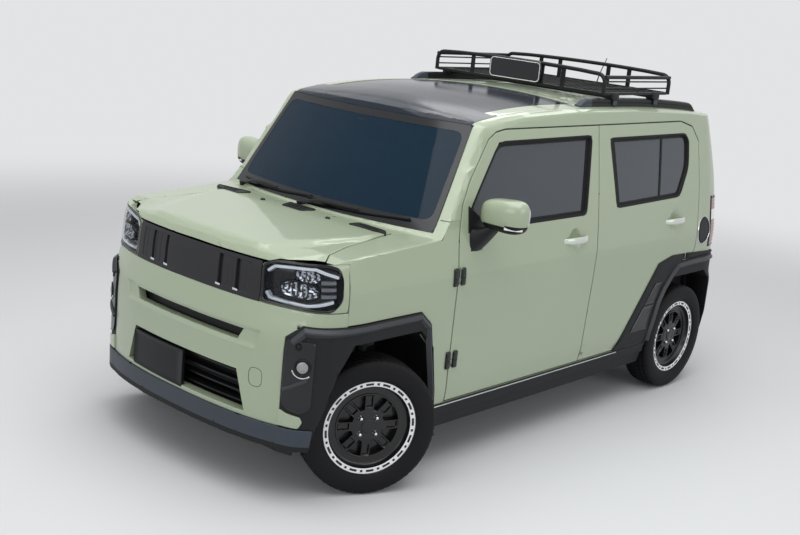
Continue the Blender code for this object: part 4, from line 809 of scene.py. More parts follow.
def fitted(name, material, body, slot, shells, *nodes, sharp=35.0):
    """Assemble shells and settle them without rolled edges, on both sides where the name ends in left."""
    place = on_both_sides if name.endswith("left") else settle
    return place(assembled(name, *shells), material, body, slot, *nodes, bevel=0.0, sharp=sharp)


def band(line, profile, closed=True, surface=wall):
    """A closed profile of (across, proud) points carried along a flat line laid on a surface."""
    line = np.asarray(line, float)
    across, proud = np.asarray(profile, float).T
    offset = outward(line, closed)[:, None] * across[None, :, None]
    place = line[:, None] + offset
    return shell(surface(place[..., 0], place[..., 1], np.broadcast_to(proud, place.shape[:2])),
                 round_u=closed, round_v=True, caps=not closed)


def pad(line, steps, dome=0.0, surface=wall):
    """Rings drawn in from a closed line by (inset, proud) steps, then shrunk to the middle in a dome."""
    normal = outward(line)
    rings = [line - normal * inset for inset, _ in steps]
    heights = [proud for _, proud in steps]
    last, middle = rings[-1], rings[-1].mean(axis=0)
    for share in (0.8, 0.55, 0.3, 0.0):
        rings.append(middle + (last - middle) * share)
        heights.append(steps[-1][1] + dome * (1 - share ** 2))
    place = np.array(rings)
    points, faces = shell(surface(place[..., 0], place[..., 1],
                                  np.broadcast_to(np.array(heights)[:, None], place.shape[:2])),
                          round_v=True)
    faces.append(list(range(len(line))))
    return points, faces


def even(line, count):
    """The same closed line in a number of equal steps."""
    loop = np.concatenate([line, line[:1]])
    at = np.concatenate([[0.0], np.cumsum(np.linalg.norm(np.diff(loop, axis=0), axis=1))])
    want = np.arange(count) * at[-1] / count
    return np.stack([np.interp(want, at, loop[:, 0]), np.interp(want, at, loop[:, 1])], axis=1)


def between(outer, inner, steps, count=96, surface=wall):
    """A ring from an outer to an inner line by (share of the way, proud) steps, closed at its back."""
    outer, inner = even(outer, count), even(inner, count)
    share, proud = np.asarray(steps, float).T
    place = outer + (inner - outer) * share[:, None, None]
    return shell(surface(place[..., 0], place[..., 1], np.broadcast_to(proud[:, None], place.shape[:2])),
                 round_u=True, round_v=True)


def bent(value, power):
    """The value's size raised to a power, with its sign kept."""
    return np.sign(value) * abs(value) ** power


def angles(count):
    """A full turn in equal steps, without its last point."""
    return np.arange(count) * 2 * math.pi / count


def oval(centre, half, count=40, power=1.0):
    """Closed superellipse; power 1 is an ellipse and smaller powers are squarer."""
    t = angles(count)
    return np.stack([centre[0] + half[0] * bent(np.cos(t), power),
                     centre[1] + half[1] * bent(np.sin(t), power)], axis=1)


def ridge(foot, low, top, high):
    """Profile of a bar: its half width and height at the foot and at the top."""
    return (-foot, low), (-top, high), (top, high), (foot, low)


def side_band(points, profile):
    """A profile carried along a line given in side view."""
    return band(dense(on_side(points), closed=False), profile, False)


def side_pad(points, radius, steps):
    """A pad whose outline is given in side view."""
    return pad(rounded(on_side(points), radius), steps)


FRONT_WINDOW = ((-0.479, 1.462), (0.266, 1.468), (0.213, 1.091), (-0.690, 1.088), (-0.700, 1.160),
                (-0.648, 1.238))
REAR_WINDOW = ((0.431, 1.449), (1.195, 1.450), (1.232, 1.410), (1.229, 1.268), (1.136, 1.117), (0.493, 1.103))
WINDOW_RADII = {"front": (0.05, 0.035, 0.03, 0.02, 0.03, 0.08), "rear": (0.03, 0.03, 0.02, 0.05, 0.04, 0.03)}
DIVIDERS = {"front": ((((0.250, 1.466), (0.197, 1.092)), 0.016, -0.0112),),
            "rear": ((((0.957, 1.450), (0.931, 1.108)), 0.008, -0.0110),
                     (((0.456, 1.449), (0.510, 1.104)), 0.026, -0.0110))}
SEAL = ((-0.020, -0.0134), (-0.020, -0.0115), (-0.010, -0.0105), (-0.0075, -0.003), (-0.004, 0.0006),
        (0.0035, 0.0008), (0.0050, 0.0002), (0.0050, -0.006), (-0.006, -0.0134))
RUBBER_BLACK = grained("seal_rubber", (0.003, 0.003, 0.004), (0.006, 0.006, 0.007), 0.5, patch=8.0,
                       grain=900.0, bump=0.15, spread=0.15, Specular_IOR_Level=0.2)
for which, window in (("front", FRONT_WINDOW), ("rear", REAR_WINDOW)):
    parts = [band(rounded(on_side(window), WINDOW_RADII[which]), SEAL)]
    for line, half, high in DIVIDERS[which]:
        parts.append(side_band(line, ridge(half, -0.0150, half, high)))
    fitted(which + "_window_seal_left", RUBBER_BLACK, which + "_door_left", "dark_plastic", parts, sharp=50)

# Hinge covers and patches: black moulded shells clipped over the front doors' outside hinges, half on the
# fender and half on the door, and the plain cover of the rear door's low hinge.

FRONT_HINGE_Z = (0.520, 0.897)
COVER_STEPS = ((0.0005, 0.0004), (0.0, 0.004), (0.0015, 0.0075), (0.004, 0.0092), (0.008, 0.0100))
for body, label, y in (("body", "fender_hinge_cover_left", -0.790),
                       ("front_door_left", "door_hinge_cover_left", -0.7425)):
    lobes = []
    for z in FRONT_HINGE_Z:
        s = s_of_y(y, z)
        lobes.append(pad(rounded(box(s - 0.0135, z - 0.040, s + 0.0165, z + 0.040), 0.010), COVER_STEPS,
                         dome=0.001))
        lobes.append(pad(oval((s + 0.0015, z), (0.008, 0.008), 24),
                         ((0.0, 0.006), (0.0005, 0.0125), (0.0015, 0.0132)), dome=0.0008))
    fitted(label, PIANO_BLACK, body, "dark_plastic", lobes, sharp=60)
REAR_HINGE_COVER = ((0.2845, 0.345), (0.3195, 0.345), (0.3195, 0.411), (0.2865, 0.411))
fitted("rear_hinge_panel_left", SAGE_PAINT, "rear_door_left", "green_paint",
       [side_pad(REAR_HINGE_COVER, 0.002, ((0.0, -0.004), (0.0, 0.0002)))])

# Door handles: silvered grip bars screwed to the skin through two feet over the dished recess.

HANDLE_SILVER = grained("handle_silver", (0.56, 0.60, 0.53), (0.62, 0.66, 0.59), 0.22, patch=6.0, grain=900.0,
                        bump=0.02, spread=0.05, Metallic=0.25, Coat_Weight=1.0, Coat_Roughness=0.03)
HANDLE_HALF = 0.098
for which in ("front", "rear"):
    y0, z0 = HANDLES[which]
    t = np.linspace(-1, 1, 41)
    arc = angles(20)
    height = 0.0165 * (1 - 0.35 * abs(t) ** 4)
    depth = 0.0052 + 0.001 * np.cos(t * math.pi / 2)
    standing = -0.003 + 0.028 * (1 - abs(t) ** 3.2)
    s = s_of_y(y0, z0) + t * HANDLE_HALF
    across, outwards = bent(np.sin(arc), 0.7), bent(np.cos(arc), 0.8)
    grid = wall(np.broadcast_to(s[:, None], (41, 20)), z0 + height[:, None] * across,
                standing[:, None] + depth[:, None] * outwards)
    feet = [pad(oval((s_of_y(y0, z0) + side * (HANDLE_HALF - 0.008), z0), (0.014, 0.0135), 28, 0.8),
                ((0.0, -0.003), (0.0, 0.001), (0.002, 0.0022)), dome=0.0015) for side in (-1, 1)]
    fitted(which + "_door_handle_left", HANDLE_SILVER, which + "_door_left", "green_paint",
           [shell(grid, round_v=True, caps=True), *feet], sharp=60)

# Mirrors: painted two-part shells over a black lower band, on a moulded foot bolted to the door by the
# window's corner, each with a clear side lamp and a silvered glass.

MIRROR_CENTRE = (0.824, -0.618, 1.178)
MIRROR_RADII = (0.112, 0.064, 0.072)
MIRROR_SPLIT = -0.50


def blob(centre, radii, powers, form=None, rows=36, columns=56):
    """Superellipsoid: sines and cosines of latitude and longitude raised to powers below one."""
    u = np.linspace(-math.pi / 2, math.pi / 2, rows)[:, None]
    v = angles(columns)[None, :]
    unit = np.stack([bent(np.cos(u), powers[0]) * bent(np.cos(v), powers[1]),
                     bent(np.cos(u), powers[0]) * bent(np.sin(v), powers[1]),
                     bent(np.sin(u), powers[0]) * np.ones_like(v)], axis=-1)
    if form:
        unit = form(unit)
    return shell(unit * np.array(radii) + np.array(centre), round_v=True)


def mirror_form(unit):
    """Fuller in front than behind, lower towards the door, with its outer end leaning back."""
    x, y, z = unit[..., 0], unit[..., 1], unit[..., 2]
    y = np.where(y > 0, y * 0.55, y * (1.0 - 0.12 * z * z))
    z = z * (1.0 + 0.10 * x) + 0.05 * x
    return np.stack([x, y + 0.16 * x * x * (x > 0), z], axis=-1)


def mirror_band(centres):
    """The lower part of the mirror's shell, below a line that rises outwards, is black."""
    line = MIRROR_CENTRE[2] + MIRROR_SPLIT * MIRROR_RADII[2] + 0.05 * (abs(centres[:, 0]) - 0.834)
    return centres[:, 2] < line


MIRROR_GLASS = grained("mirror_silver", (0.80, 0.82, 0.84), (0.82, 0.84, 0.86), 0.05, patch=2.0, grain=900.0,
                       bump=0.0, spread=0.02, Metallic=1.0)
INDICATOR = grained("clear_lamp", (0.80, 0.80, 0.78), (0.90, 0.88, 0.84), 0.12, patch=30.0, grain=500.0,
                    bump=0.2, spread=0.05, Coat_Weight=1.0, Coat_Roughness=0.02)
head = blob(MIRROR_CENTRE, MIRROR_RADII, (0.55, 0.62), mirror_form)
for piece in fitted("mirror_head_left", (SAGE_PAINT, SATIN_BLACK), "front_door_left", "green_paint", [head],
                    sharp=70):
    finish_by(piece, mirror_band)


def mirror_front(u, v, proud):
    """Plane of the mirror glass, facing the tail: u runs outwards and v upwards."""
    return np.stack([u, MIRROR_CENTRE[1] + 0.0350 + proud + 0.10 * (u - MIRROR_CENTRE[0]) + 0 * v, v],
                    axis=-1)


glass_line = oval((0.827, 1.180), (0.096, 0.060), 48, 0.55)
fitted("mirror_glass_left", MIRROR_GLASS, "front_door_left", "lamp_lens",
       [pad(glass_line, ((0.0, -0.010), (0.0, 0.0010), (0.002, 0.0016)), surface=mirror_front)])
t = np.linspace(0, 1, 14)[:, None]
around = angles(28)[None, :]
foot_y, foot_z = -0.652 + 0.030 * t, 1.045 + 0.075 * t ** 1.3
foot_half_y, foot_half_z = 0.050 - 0.020 * t, 0.058 - 0.036 * t
foot = np.stack([0.702 + 0.085 * t + 0 * around,
                 foot_y + foot_half_y * bent(np.cos(around), 0.7),
                 foot_z + foot_half_z * bent(np.sin(around), 0.7)], axis=-1)
fitted("mirror_foot_left", SATIN_BLACK, "front_door_left", "dark_plastic",
       [shell(foot, round_v=True, caps=True)], sharp=50)
t = np.linspace(0.20, 0.70, 18)
lamp_x = MIRROR_CENTRE[0] + 0.1065 * np.sin(t * 2.0)
lamp_y = MIRROR_CENTRE[1] - 0.0600 * np.cos(t * 2.0) ** 0.6 + 0.0102 * np.sin(t * 2.0) ** 2
rows = []
for rise, out in ((-0.007, 0.0), (-0.006, 0.0022), (0.006, 0.0022), (0.007, 0.0), (0.006, -0.004),
                  (-0.006, -0.004)):
    rows.append(np.stack([lamp_x + out * np.sin(t * 2), lamp_y - out * np.cos(t * 2), 1.134 + rise + 0 * t],
                         axis=-1))
fitted("mirror_lamp_left", INDICATOR, "front_door_left", "lamp_lens",
       [shell(np.stack(rows, axis=1), round_v=True, caps=True)])
SAIL = ((-0.7080, 1.080), (-0.5500, 1.082), (-0.6150, 1.140), (-0.7050, 1.200))
fitted("window_sail_left", SATIN_BLACK, "front_door_left", "dark_plastic",
       [side_pad(SAIL, 0.008, ((0.0, -0.012), (0.0, 0.0020), (0.002, 0.0032)))], sharp=40)

# Corner and side claddings: grained black mouldings clipped over the arches and sills, with a smooth inset
# panel at the nose, a flap behind each front wheel, a bright metal line as painted highlight on the sill's
# top edge, and painted highlight grey on the flare chamfers.

# Painted highlight: this blue-grey is lighter than the black mouldings and stands in for light falling on the
# upward chamfers of the black arch flares and the fog ledge.
FLARE_HIGHLIGHT_GREY = grained("flare_grey", (0.026, 0.029, 0.034), (0.038, 0.042, 0.049), 0.42, patch=6.0, grain=650.0,
                     bump=0.2, spread=0.12, Specular_IOR_Level=0.4)
for which in ("corner", "side"):
    node = which + "_cladding_left"
    on_both_sides(pressing(node, which + "_moulding_left"), MOULDED_BLACK, "body", "dark_plastic", node,
                  bevel=0.004)
INSET = ((0.578, 0.700), (0.585, 0.712), (0.690, 0.712), (0.698, 0.700), (0.698, 0.440), (0.660, 0.412),
         (0.590, 0.430), (0.574, 0.470))
inset = rounded(INSET, (0.006, 0.006, 0.006, 0.006, 0.02, 0.02, 0.02, 0.02))
fitted("fog_panel_left", PIANO_BLACK, "body", "gloss_black",
       [pad(inset, ((0.0, -0.004), (0.0, 0.0062), (0.003, 0.0078), (0.008, 0.0064)))], sharp=40)
BRIGHT = grained("bright_trim", (0.62, 0.63, 0.65), (0.72, 0.73, 0.75), 0.16, patch=10.0, grain=800.0,
                 bump=0.02, spread=0.06, Metallic=1.0)
FOG_AT = (0.655, 0.609)
fog = [pad(oval(FOG_AT, (0.022, 0.024), 36), ((0.0, 0.004), (0.0, 0.009), (0.002, 0.0115)), dome=0.004)]
FOG_LENS = grained("fog_lens", (0.20, 0.20, 0.20), (0.34, 0.34, 0.33), 0.08, patch=60.0, grain=300.0,
                   bump=0.3, spread=0.05, Coat_Weight=1.0, Coat_Roughness=0.02)
fitted("fog_lamp_left", FOG_LENS, "body", "lamp_lens", fog)
surround = [between(oval(FOG_AT, (0.034, 0.036), 48), oval(FOG_AT, (0.023, 0.025), 48),
                    ((0, 0.004), (0, 0.009), (0.3, 0.012), (0.8, 0.0095), (1, 0.004))),
            between(oval((0.632, 0.690), (0.014, 0.015), 36), oval((0.632, 0.690), (0.0095, 0.0105), 36),
                    ((0, 0.004), (0, 0.008), (0.4, 0.0095), (1, 0.0065), (1, 0.004))),
            pad(oval((0.632, 0.690), (0.009, 0.010), 24), ((0.0, 0.004), (0.0, 0.0072), (0.002, 0.008)),
                dome=0.001)]
fitted("fog_surround_left", SATIN_BLACK, "body", "dark_plastic", surround, sharp=60)
t = np.linspace(math.radians(200), math.radians(312), 22)
arc = np.stack([FOG_AT[0] + 0.043 * np.cos(t), FOG_AT[1] + 0.045 * np.sin(t)], axis=1)
LEDGE = ((0.580, 0.506), (0.610, 0.522), (0.650, 0.546), (0.678, 0.560))
THIN_BAR = ((-0.0030, 0.004), (-0.0030, 0.0090), (0.0, 0.0112), (0.0030, 0.0090), (0.0030, 0.004))
LEDGE_BAR = ((-0.0090, 0.003), (-0.0060, 0.0130), (0.004, 0.0140), (0.0090, 0.0090), (0.0090, 0.003))
fitted("fog_trim_left", BRIGHT, "body", "lamp_lens", [band(arc, THIN_BAR, False)])
fitted("fog_ledge_left", FLARE_HIGHLIGHT_GREY, "body", "dark_plastic",
       [band(dense(LEDGE, closed=False), LEDGE_BAR, False)], sharp=40)
# Painted highlight: a bright metal line stands in for the light caught by the bevelled top edge of the black
# sill cladding.
SILL_HIGHLIGHT_LINE = ((-0.845, 0.3130), (0.640, 0.3130))
fitted("sill_line_left", BRIGHT, "body", "lamp_lens",
       [side_band(SILL_HIGHLIGHT_LINE, ridge(0.0030, 0.006, 0.0026, 0.0105))])
FLARE = ((0.003, 0.004), (0.004, 0.0075), (0.017, 0.0190), (0.023, 0.0195), (0.038, 0.004))
FRONT_FLARE = ((-1.606, 0.716), (-1.577, 0.770), (-1.420, 0.767), (-0.997, 0.769), (-0.929, 0.711),
               (-0.860, 0.381), (-0.860, 0.275))
DOOR_GUARD = ((0.606, 0.3235), (0.958, 0.762), (1.100, 0.792), (1.236, 0.790), (1.236, 0.757),
              (1.166, 0.7515), (1.104, 0.7095), (1.025, 0.6265), (0.977, 0.5475), (0.9225, 0.3820),
              (0.9195, 0.3235))
QUARTER_GUARD = ((1.253, 0.790), (1.590, 0.772), (1.590, 0.757), (1.253, 0.757))
# The flare edges and the fog ledge are black plastic; their lighter grey is painted highlight.
fitted("front_flare_edge_left", FLARE_HIGHLIGHT_GREY, "body", "dark_plastic", [side_band(FRONT_FLARE, FLARE)],
       sharp=25)
fitted("door_guard_left", MOULDED_BLACK, "rear_door_left", "dark_plastic",
       [side_pad(DOOR_GUARD, 0.004, ((0.0, -0.003), (0.0, 0.0045), (0.016, 0.0085), (0.018, 0.0085)))],
       sharp=25)
fitted("quarter_guard_left", MOULDED_BLACK, "body", "dark_plastic",
       [side_pad(QUARTER_GUARD, 0.004, ((0.0, -0.003), (0.0, 0.0055), (0.012, 0.0100)))], sharp=25)
REAR_RIDGE = ((0.9300, 0.330), (0.9330, 0.381), (0.987, 0.544), (1.034, 0.620), (1.111, 0.701),
              (1.169, 0.742), (1.320, 0.749), (1.600, 0.749))
GUARD_PANELS = (((0.735, 0.4050), (0.842, 0.5350), (0.950, 0.5350), (0.918, 0.4400), (0.908, 0.4050)),
                ((0.850, 0.5450), (0.940, 0.6550), (1.012, 0.6550), (0.990, 0.6150), (0.955, 0.5450)))
panels = [side_pad(corners, 0.006, ((0.0, 0.004), (0.0, 0.0105), (0.003, 0.0115), (0.008, 0.0092)))
          for corners in GUARD_PANELS]
fitted("door_guard_panels_left", PIANO_BLACK, "rear_door_left", "dark_plastic", panels, sharp=25)
fitted("rear_flare_edge_left", FLARE_HIGHLIGHT_GREY, "body", "dark_plastic", [side_band(REAR_RIDGE, FLARE)], sharp=25)
FLAP_X, FLAP_THICK = (0.600, 0.726), 0.0045
u, v = np.meshgrid(np.linspace(0, 1, 8), np.linspace(0, 1, 10), indexing="ij")
flap_y = -0.856 + 0.016 * v + 0.010 * v * v
flap_x = FLAP_X[0] + (FLAP_X[1] - FLAP_X[0]) * u
flap_z = 0.375 - 0.200 * v
flap = slab(*[np.stack([flap_x, flap_y + offset, flap_z], axis=-1) for offset in (0.0, FLAP_THICK)])
fitted("mud_flap_left", RUBBER_BLACK, "body", "dark_plastic", flap)

# Bumpers and front face: the moulded rear bumper, the pressed front bumper with its slot and mouth, the blank
# plate, the slate lip, and the matt grille band with two pairs of slotted frames and their bright tabs.

settle(pressing("rear_bumper", "rear_bumper_moulding"), MOULDED_BLACK, "body", "dark_plastic", "rear_bumper",
       bevel=0.004)
lip = settle(pressing("bumper_lip", "lip_moulding"), (SLATE, MOULDED_BLACK), "body", "slate_garnish",
             "bumper_lip", bevel=0.004)
LIP_LOW, LIP_HIGH = (corner[2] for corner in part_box("bumper_lip"))
finish_by(lip, lambda centres: centres[:, 2] < LIP_LOW + 0.30 * (LIP_HIGH - LIP_LOW))
GRILLE_HALF = 0.4075
GRILLE_LOW, GRILLE_HIGH = 0.8275, 0.9895
FRAME_S = ((0.172, 0.270), (0.274, 0.372))
FRAME_Z = (0.846, 0.972)
SLOT_SHARE, RIM_SHARE = 0.19, 0.05


def step_up(value, edge, width=0.0025):
    """Eases from zero to one across an edge."""
    t = np.clip((value - edge) / width + 0.5, 0, 1)
    return t * t * (3 - 2 * t)


def grille_depth(s, z):
    """Each frame has one deep slot on its inner side and two shallow panels with a groove between them."""
    depth = 0.0
    inside = step_up(z, FRAME_Z[0]) * (1 - step_up(z, FRAME_Z[1]))
    for low, high in FRAME_S:
        width = high - low
        slot = step_up(abs(s), low) * (1 - step_up(abs(s), low + SLOT_SHARE * width))
        panels = step_up(abs(s), low + SLOT_SHARE * width) * (1 - step_up(abs(s), high - RIM_SHARE * width))
        middle = np.exp(-((abs(s) - (low + 0.57 * width)) / 0.0016) ** 2)
        depth = depth + inside * (0.014 * slot + 0.003 * panels + 0.003 * middle)
    return depth


edges = sorted({sign * (at + shift) for low, high in FRAME_S
                for at in (low, low + SLOT_SHARE * (high - low), high - RIM_SHARE * (high - low))
                for shift in (-0.002, 0, 0.002) for sign in (1, -1)})
s = np.unique(np.concatenate([np.linspace(-GRILLE_HALF, GRILLE_HALF, 150), edges]))
frame_edges = [at + shift for at in FRAME_Z for shift in (-0.002, 0.002)]
z = np.unique(np.concatenate([np.linspace(GRILLE_LOW, GRILLE_HIGH, 36), frame_edges]))
ss, zz = np.meshgrid(s, z, indexing="ij")
face = wall(ss, zz, -grille_depth(ss, zz))
back = wall(ss, zz, -0.040)
GRILLE_BLACK = grained("grille_matt", (0.014, 0.014, 0.017), (0.022, 0.022, 0.026), 0.45, patch=9.0,
                       grain=700.0, bump=0.18, spread=0.12, Specular_IOR_Level=0.30)
fitted("grille_band", GRILLE_BLACK, "body", "gloss_black", slab(face, back), "grille_panel", sharp=40)
tabs = []
for sign in (1, -1):
    for low, _ in FRAME_S:
        centre = sign * (low + 0.004)
        tabs.append(pad(rounded(((centre - 0.014, 0.843), (centre + 0.014, 0.842), (centre + 0.014, 0.850),
                                 (centre - 0.014, 0.852)), 0.003),
                        ((0.0, -0.003), (0.0, 0.0025), (0.002, 0.0038))))
fitted("grille_tabs", BRIGHT, "body", "lamp_lens", tabs)


SLOT_Z = (0.628, 0.712)
SLOT_LIP_Z = 0.636


def slot_pressing(places):
    """A pressed surround 9 mm deep about the upper slot whose lower edge stands out again as a lip."""
    s, _, depth = facet_place(places)
    z = places[:, 2]
    half = 0.435 + 0.25 * (z - 0.665)
    across = 1 - step_up(s, half, 0.012)
    upright = step_up(z, SLOT_Z[0], 0.014) * (1 - step_up(z, SLOT_Z[1], 0.014))
    lip = across * np.exp(-((z - SLOT_LIP_Z) / 0.010) ** 2)
    sunk = 0.009 * across * upright * (1 - 0.9 * np.exp(-((z - SLOT_LIP_Z) / 0.012) ** 2)) - 0.003 * lip
    near = np.clip(1 - depth / 0.02, 0, 1) * (places[:, 1] < -1.45)
    moved = places.copy()
    moved[:, 1] += sunk * near
    return moved


settle(pressing("front_bumper", "front_bumper_moulding", shape=slot_pressing,
                fine=(((-0.47, -1.72, 0.60), (0.47, -1.60, 0.73)),)), SAGE_PAINT, "body", "green_paint",
       "front_bumper", bevel=0.002)
PLATE = ((-0.348, 0.360), (0.022, 0.356), (0.022, 0.520), (-0.348, 0.517))
plate = [pad(rounded(PLATE, 0.010), ((0.0, -0.012), (0.0, 0.0015), (0.0015, 0.003), (0.006, 0.003),
                                     (0.0075, 0.0018)))]
fitted("front_plate", SATIN_BLACK, "body", "dark_plastic", plate, sharp=40)
TOW = oval((0.445, 0.522), (0.034, 0.040), 40, 0.7)
fitted("tow_cover", SATIN_BLACK, "body", "dark_plastic",
       [between(TOW, oval((0.445, 0.522), (0.032, 0.038), 40, 0.7),
                ((0, -0.002), (0, 0.0003), (1, 0.0003), (1, -0.002)))])
slats = []
for z in (0.385, 0.425, 0.465, 0.505):
    line = np.stack([np.linspace(-0.40, 0.40, 40), np.full(40, z)], axis=1)
    slats.append(band(line, ridge(0.006, -0.070, 0.004, -0.040), False))
line = np.stack([np.linspace(-0.36, 0.36, 40), np.full(40, 0.680)], axis=1)
slats.append(band(line, ridge(0.030, -0.075, 0.030, -0.052), False))
fitted("mouth_slats", SATIN_BLACK, "body", "dark_plastic", slats)
CORNER_FOOT = ((0.568, 0.352), (0.660, 0.352), (0.672, 0.380), (0.660, 0.400), (0.600, 0.408), (0.568, 0.420))
fitted("bumper_corner_foot_left", SAGE_PAINT, "body", "green_paint",
       [pad(rounded(CORNER_FOOT, 0.008), ((0.0, -0.004), (0.0, 0.0065), (0.002, 0.0078)))], sharp=40)

# Headlamps: a black bezel and bowl, two reflector modules one above the other, two bright light guides, three
# stacked bars at the outer end, and a clear polycarbonate lens over all.

LAMP_OUTER = ((0.4125, 0.8300), (0.4125, 0.9830), (0.4790, 1.0075), (0.7050, 1.0215), (0.8135, 1.0205),
              (0.8135, 0.8300))
LAMP_INNER = ((0.4250, 0.8420), (0.4230, 0.9760), (0.4850, 0.9985), (0.7000, 1.0110), (0.7600, 0.9970),
              (0.7830, 0.9650), (0.7830, 0.8800), (0.7640, 0.8540), (0.7300, 0.8400), (0.6400, 0.8400))
lamp_outer = rounded(LAMP_OUTER, (0.006, 0.012, 0.03, 0.03, 0.012, 0.010))
LAMP_SHAPE = ((0.4126, 0.8310), (0.4126, 0.9829), (0.4790, 1.0070), (0.7050, 1.0210), (0.7640, 1.0060),
              (0.7870, 0.9630), (0.7780, 0.8720), (0.7400, 0.8310))
lamp_shape = rounded(LAMP_SHAPE, (0.006, 0.012, 0.03, 0.02, 0.02, 0.02, 0.02, 0.02))
lamp_inner = rounded(LAMP_INNER, (0.014, 0.014, 0.03, 0.03, 0.02, 0.02, 0.02, 0.02, 0.02, 0.02))
REFLECTOR = grained("lamp_reflector", (0.34, 0.39, 0.46), (0.58, 0.63, 0.70), 0.12, patch=70.0, grain=200.0,
                    bump=0.6, spread=0.1, Metallic=0.9)
BAR_GREY = grained("lamp_bar", (0.12, 0.13, 0.15), (0.22, 0.24, 0.27), 0.2, patch=20.0, grain=300.0, bump=0.2,
                   spread=0.1, Metallic=0.5, Coat_Weight=0.5, Coat_Roughness=0.05)
LENS = grained("clear_lens", (0.010, 0.014, 0.020), (0.014, 0.018, 0.026), 0.03, patch=3.0, grain=400.0,
               bump=0.0, spread=0.01, Alpha=0.16, Specular_IOR_Level=0.4)
corner = between(lamp_outer, lamp_shape, ((0, -0.040), (0, -0.0005), (0.1, 0.0008), (1, 0.0008), (1, -0.040)),
                 count=140)
fitted("headlamp_corner_panel_left", SAGE_PAINT, "body", "green_paint", [corner], sharp=45)
bezel = between(lamp_shape, lamp_inner, ((0, -0.040), (0, -0.001), (0.15, 0.0016), (0.8, 0.0018), (1, 0.0),
                                         (1, -0.040)), count=140)
bowl = pad(lamp_inner, ((-0.004, -0.045), (-0.004, -0.032), (0.004, -0.030)))
fitted("headlamp_bezel_left", PIANO_BLACK, "body", "lamp_lens", [bezel, bowl], "headlamp_left", sharp=45)
modules, rings = [], []
for centre, half in (((0.622, 0.966), (0.056, 0.024)), ((0.584, 0.904), (0.086, 0.031))):
    u, v = np.meshgrid(np.linspace(-1, 1, 23), np.linspace(-1, 1, 9), indexing="ij")
    wide = half[0] * u * np.sqrt(1 - 0.42 * v * v)
    tall = half[1] * v * np.sqrt(1 - 0.42 * u * u)
    ripple = 0.0035 * np.sin(7.0 * u + 2.0 * v) * np.cos(5.0 * v - 3.0 * u)
    sheet = [wall(centre[0] + wide, centre[1] + tall, -0.020 + ripple + 0.006 * (u * u + v * v)),
             wall(centre[0] + wide, centre[1] + tall, -0.0310 + 0 * u)]
    modules += slab(*sheet)
    outline = oval(centre, (half[0] * 0.98, half[1] * 0.98), 48, 0.72)
    rings.append(between(oval(centre, (half[0] + 0.007, half[1] + 0.006), 48, 0.72), outline,
                         ((0, -0.030), (0, -0.012), (0.5, -0.0095), (1, -0.012), (1, -0.030)), count=48))


def facets(centres):
    """Mirror facets and dark gaps: dark where the sum of three waves in space is low."""
    x, y, z = centres.T
    return np.sin(x * 310) + np.sin(z * 420 + x * 150) + np.sin(y * 500 + z * 90) < 0.15


for piece in fitted("headlamp_modules_left", (REFLECTOR, PIANO_BLACK), "body", "lamp_lens", modules,
                    sharp=20):
    finish_by(piece, facets)
fitted("headlamp_module_rings_left", SATIN_BLACK, "body", "gloss_black", rings, sharp=60)
guides = []
GUIDE_TOP = ((0.436, 0.958), (0.467, 0.982), (0.560, 0.991), (0.655, 0.998), (0.700, 0.985), (0.762, 0.970))
GUIDE_LOW = ((0.433, 0.872), (0.452, 0.852), (0.540, 0.848), (0.625, 0.848), (0.672, 0.856), (0.740, 0.872))
for line in (GUIDE_TOP, GUIDE_LOW):
    guides.append(band(dense(line, 0.01, closed=False),
                       ((-0.0062, -0.028), (-0.0062, -0.007), (0.0, -0.0045), (0.0062, -0.007),
                        (0.0062, -0.028)), False))
LIGHT_GUIDE = grained("light_guide", (0.62, 0.70, 0.80), (0.80, 0.86, 0.92), 0.2, patch=15.0, grain=500.0,
                      bump=0.1, spread=0.05, Coat_Weight=1.0, Coat_Roughness=0.03)
fitted("headlamp_guides_left", LIGHT_GUIDE, "body", "lamp_lens", guides, sharp=60)
bars = []
for z in (0.948, 0.921, 0.893):
    bars.append(pad(rounded(((0.680, z - 0.009), (0.752, z - 0.007), (0.752, z + 0.009), (0.680, z + 0.008)),
                            0.003), ((0.0, -0.030), (0.0, -0.010), (0.002, -0.007))))
fitted("headlamp_bars_left", BAR_GREY, "body", "lamp_lens", bars, sharp=40)
fitted("headlamp_lens_left", LENS, "body", "lamp_lens",
       [pad(lamp_inner, ((-0.001, -0.004), (0.0, 0.0002), (0.004, 0.0012)))])

# Tail lamps and the fuel flap: upright red lenses with a clear strip in a black frame at the rear corners,
# and the round black flap with its pale rim on the left quarter.

LAMP_LOW_Z, LAMP_HIGH_Z = 0.804, 1.086
lamp_front, lamp_back = s_of_y(1.5035, 0.945), s_of_tail_x(0.6245, 0.945)
tail_outer = rounded(box(lamp_front, LAMP_LOW_Z, lamp_back, LAMP_HIGH_Z), 0.012)
tail_inner = rounded(box(lamp_front + 0.010, LAMP_LOW_Z + 0.010, lamp_back - 0.010, LAMP_HIGH_Z - 0.010),
                     0.014)
RED_LENS = grained("red_lens", (0.16, 0.008, 0.010), (0.24, 0.012, 0.014), 0.08, patch=40.0, grain=300.0,
                   bump=0.15, spread=0.04, Coat_Weight=1.0, Coat_Roughness=0.02)
fitted("tail_lamp_frame_left", PIANO_BLACK, "body", "lamp_lens",
       [between(tail_outer, tail_inner, ((0, -0.050), (0, 0.001), (0.3, 0.004), (0.8, 0.004), (1, 0.002),
                                         (1, -0.050)))], "tail_lamp_left", sharp=45)
t = np.linspace(0, 1, 60)[:, None]
across = np.linspace(0, 1, 12)[None, :]
flute = 0.0035 + 0.0008 * np.cos(t * 2 * math.pi * 14)
lens_s = lamp_front + 0.009 + (lamp_back - lamp_front - 0.018) * across + 0 * t
lens_z = LAMP_LOW_Z + 0.009 + (LAMP_HIGH_Z - LAMP_LOW_Z - 0.018) * t + 0 * across
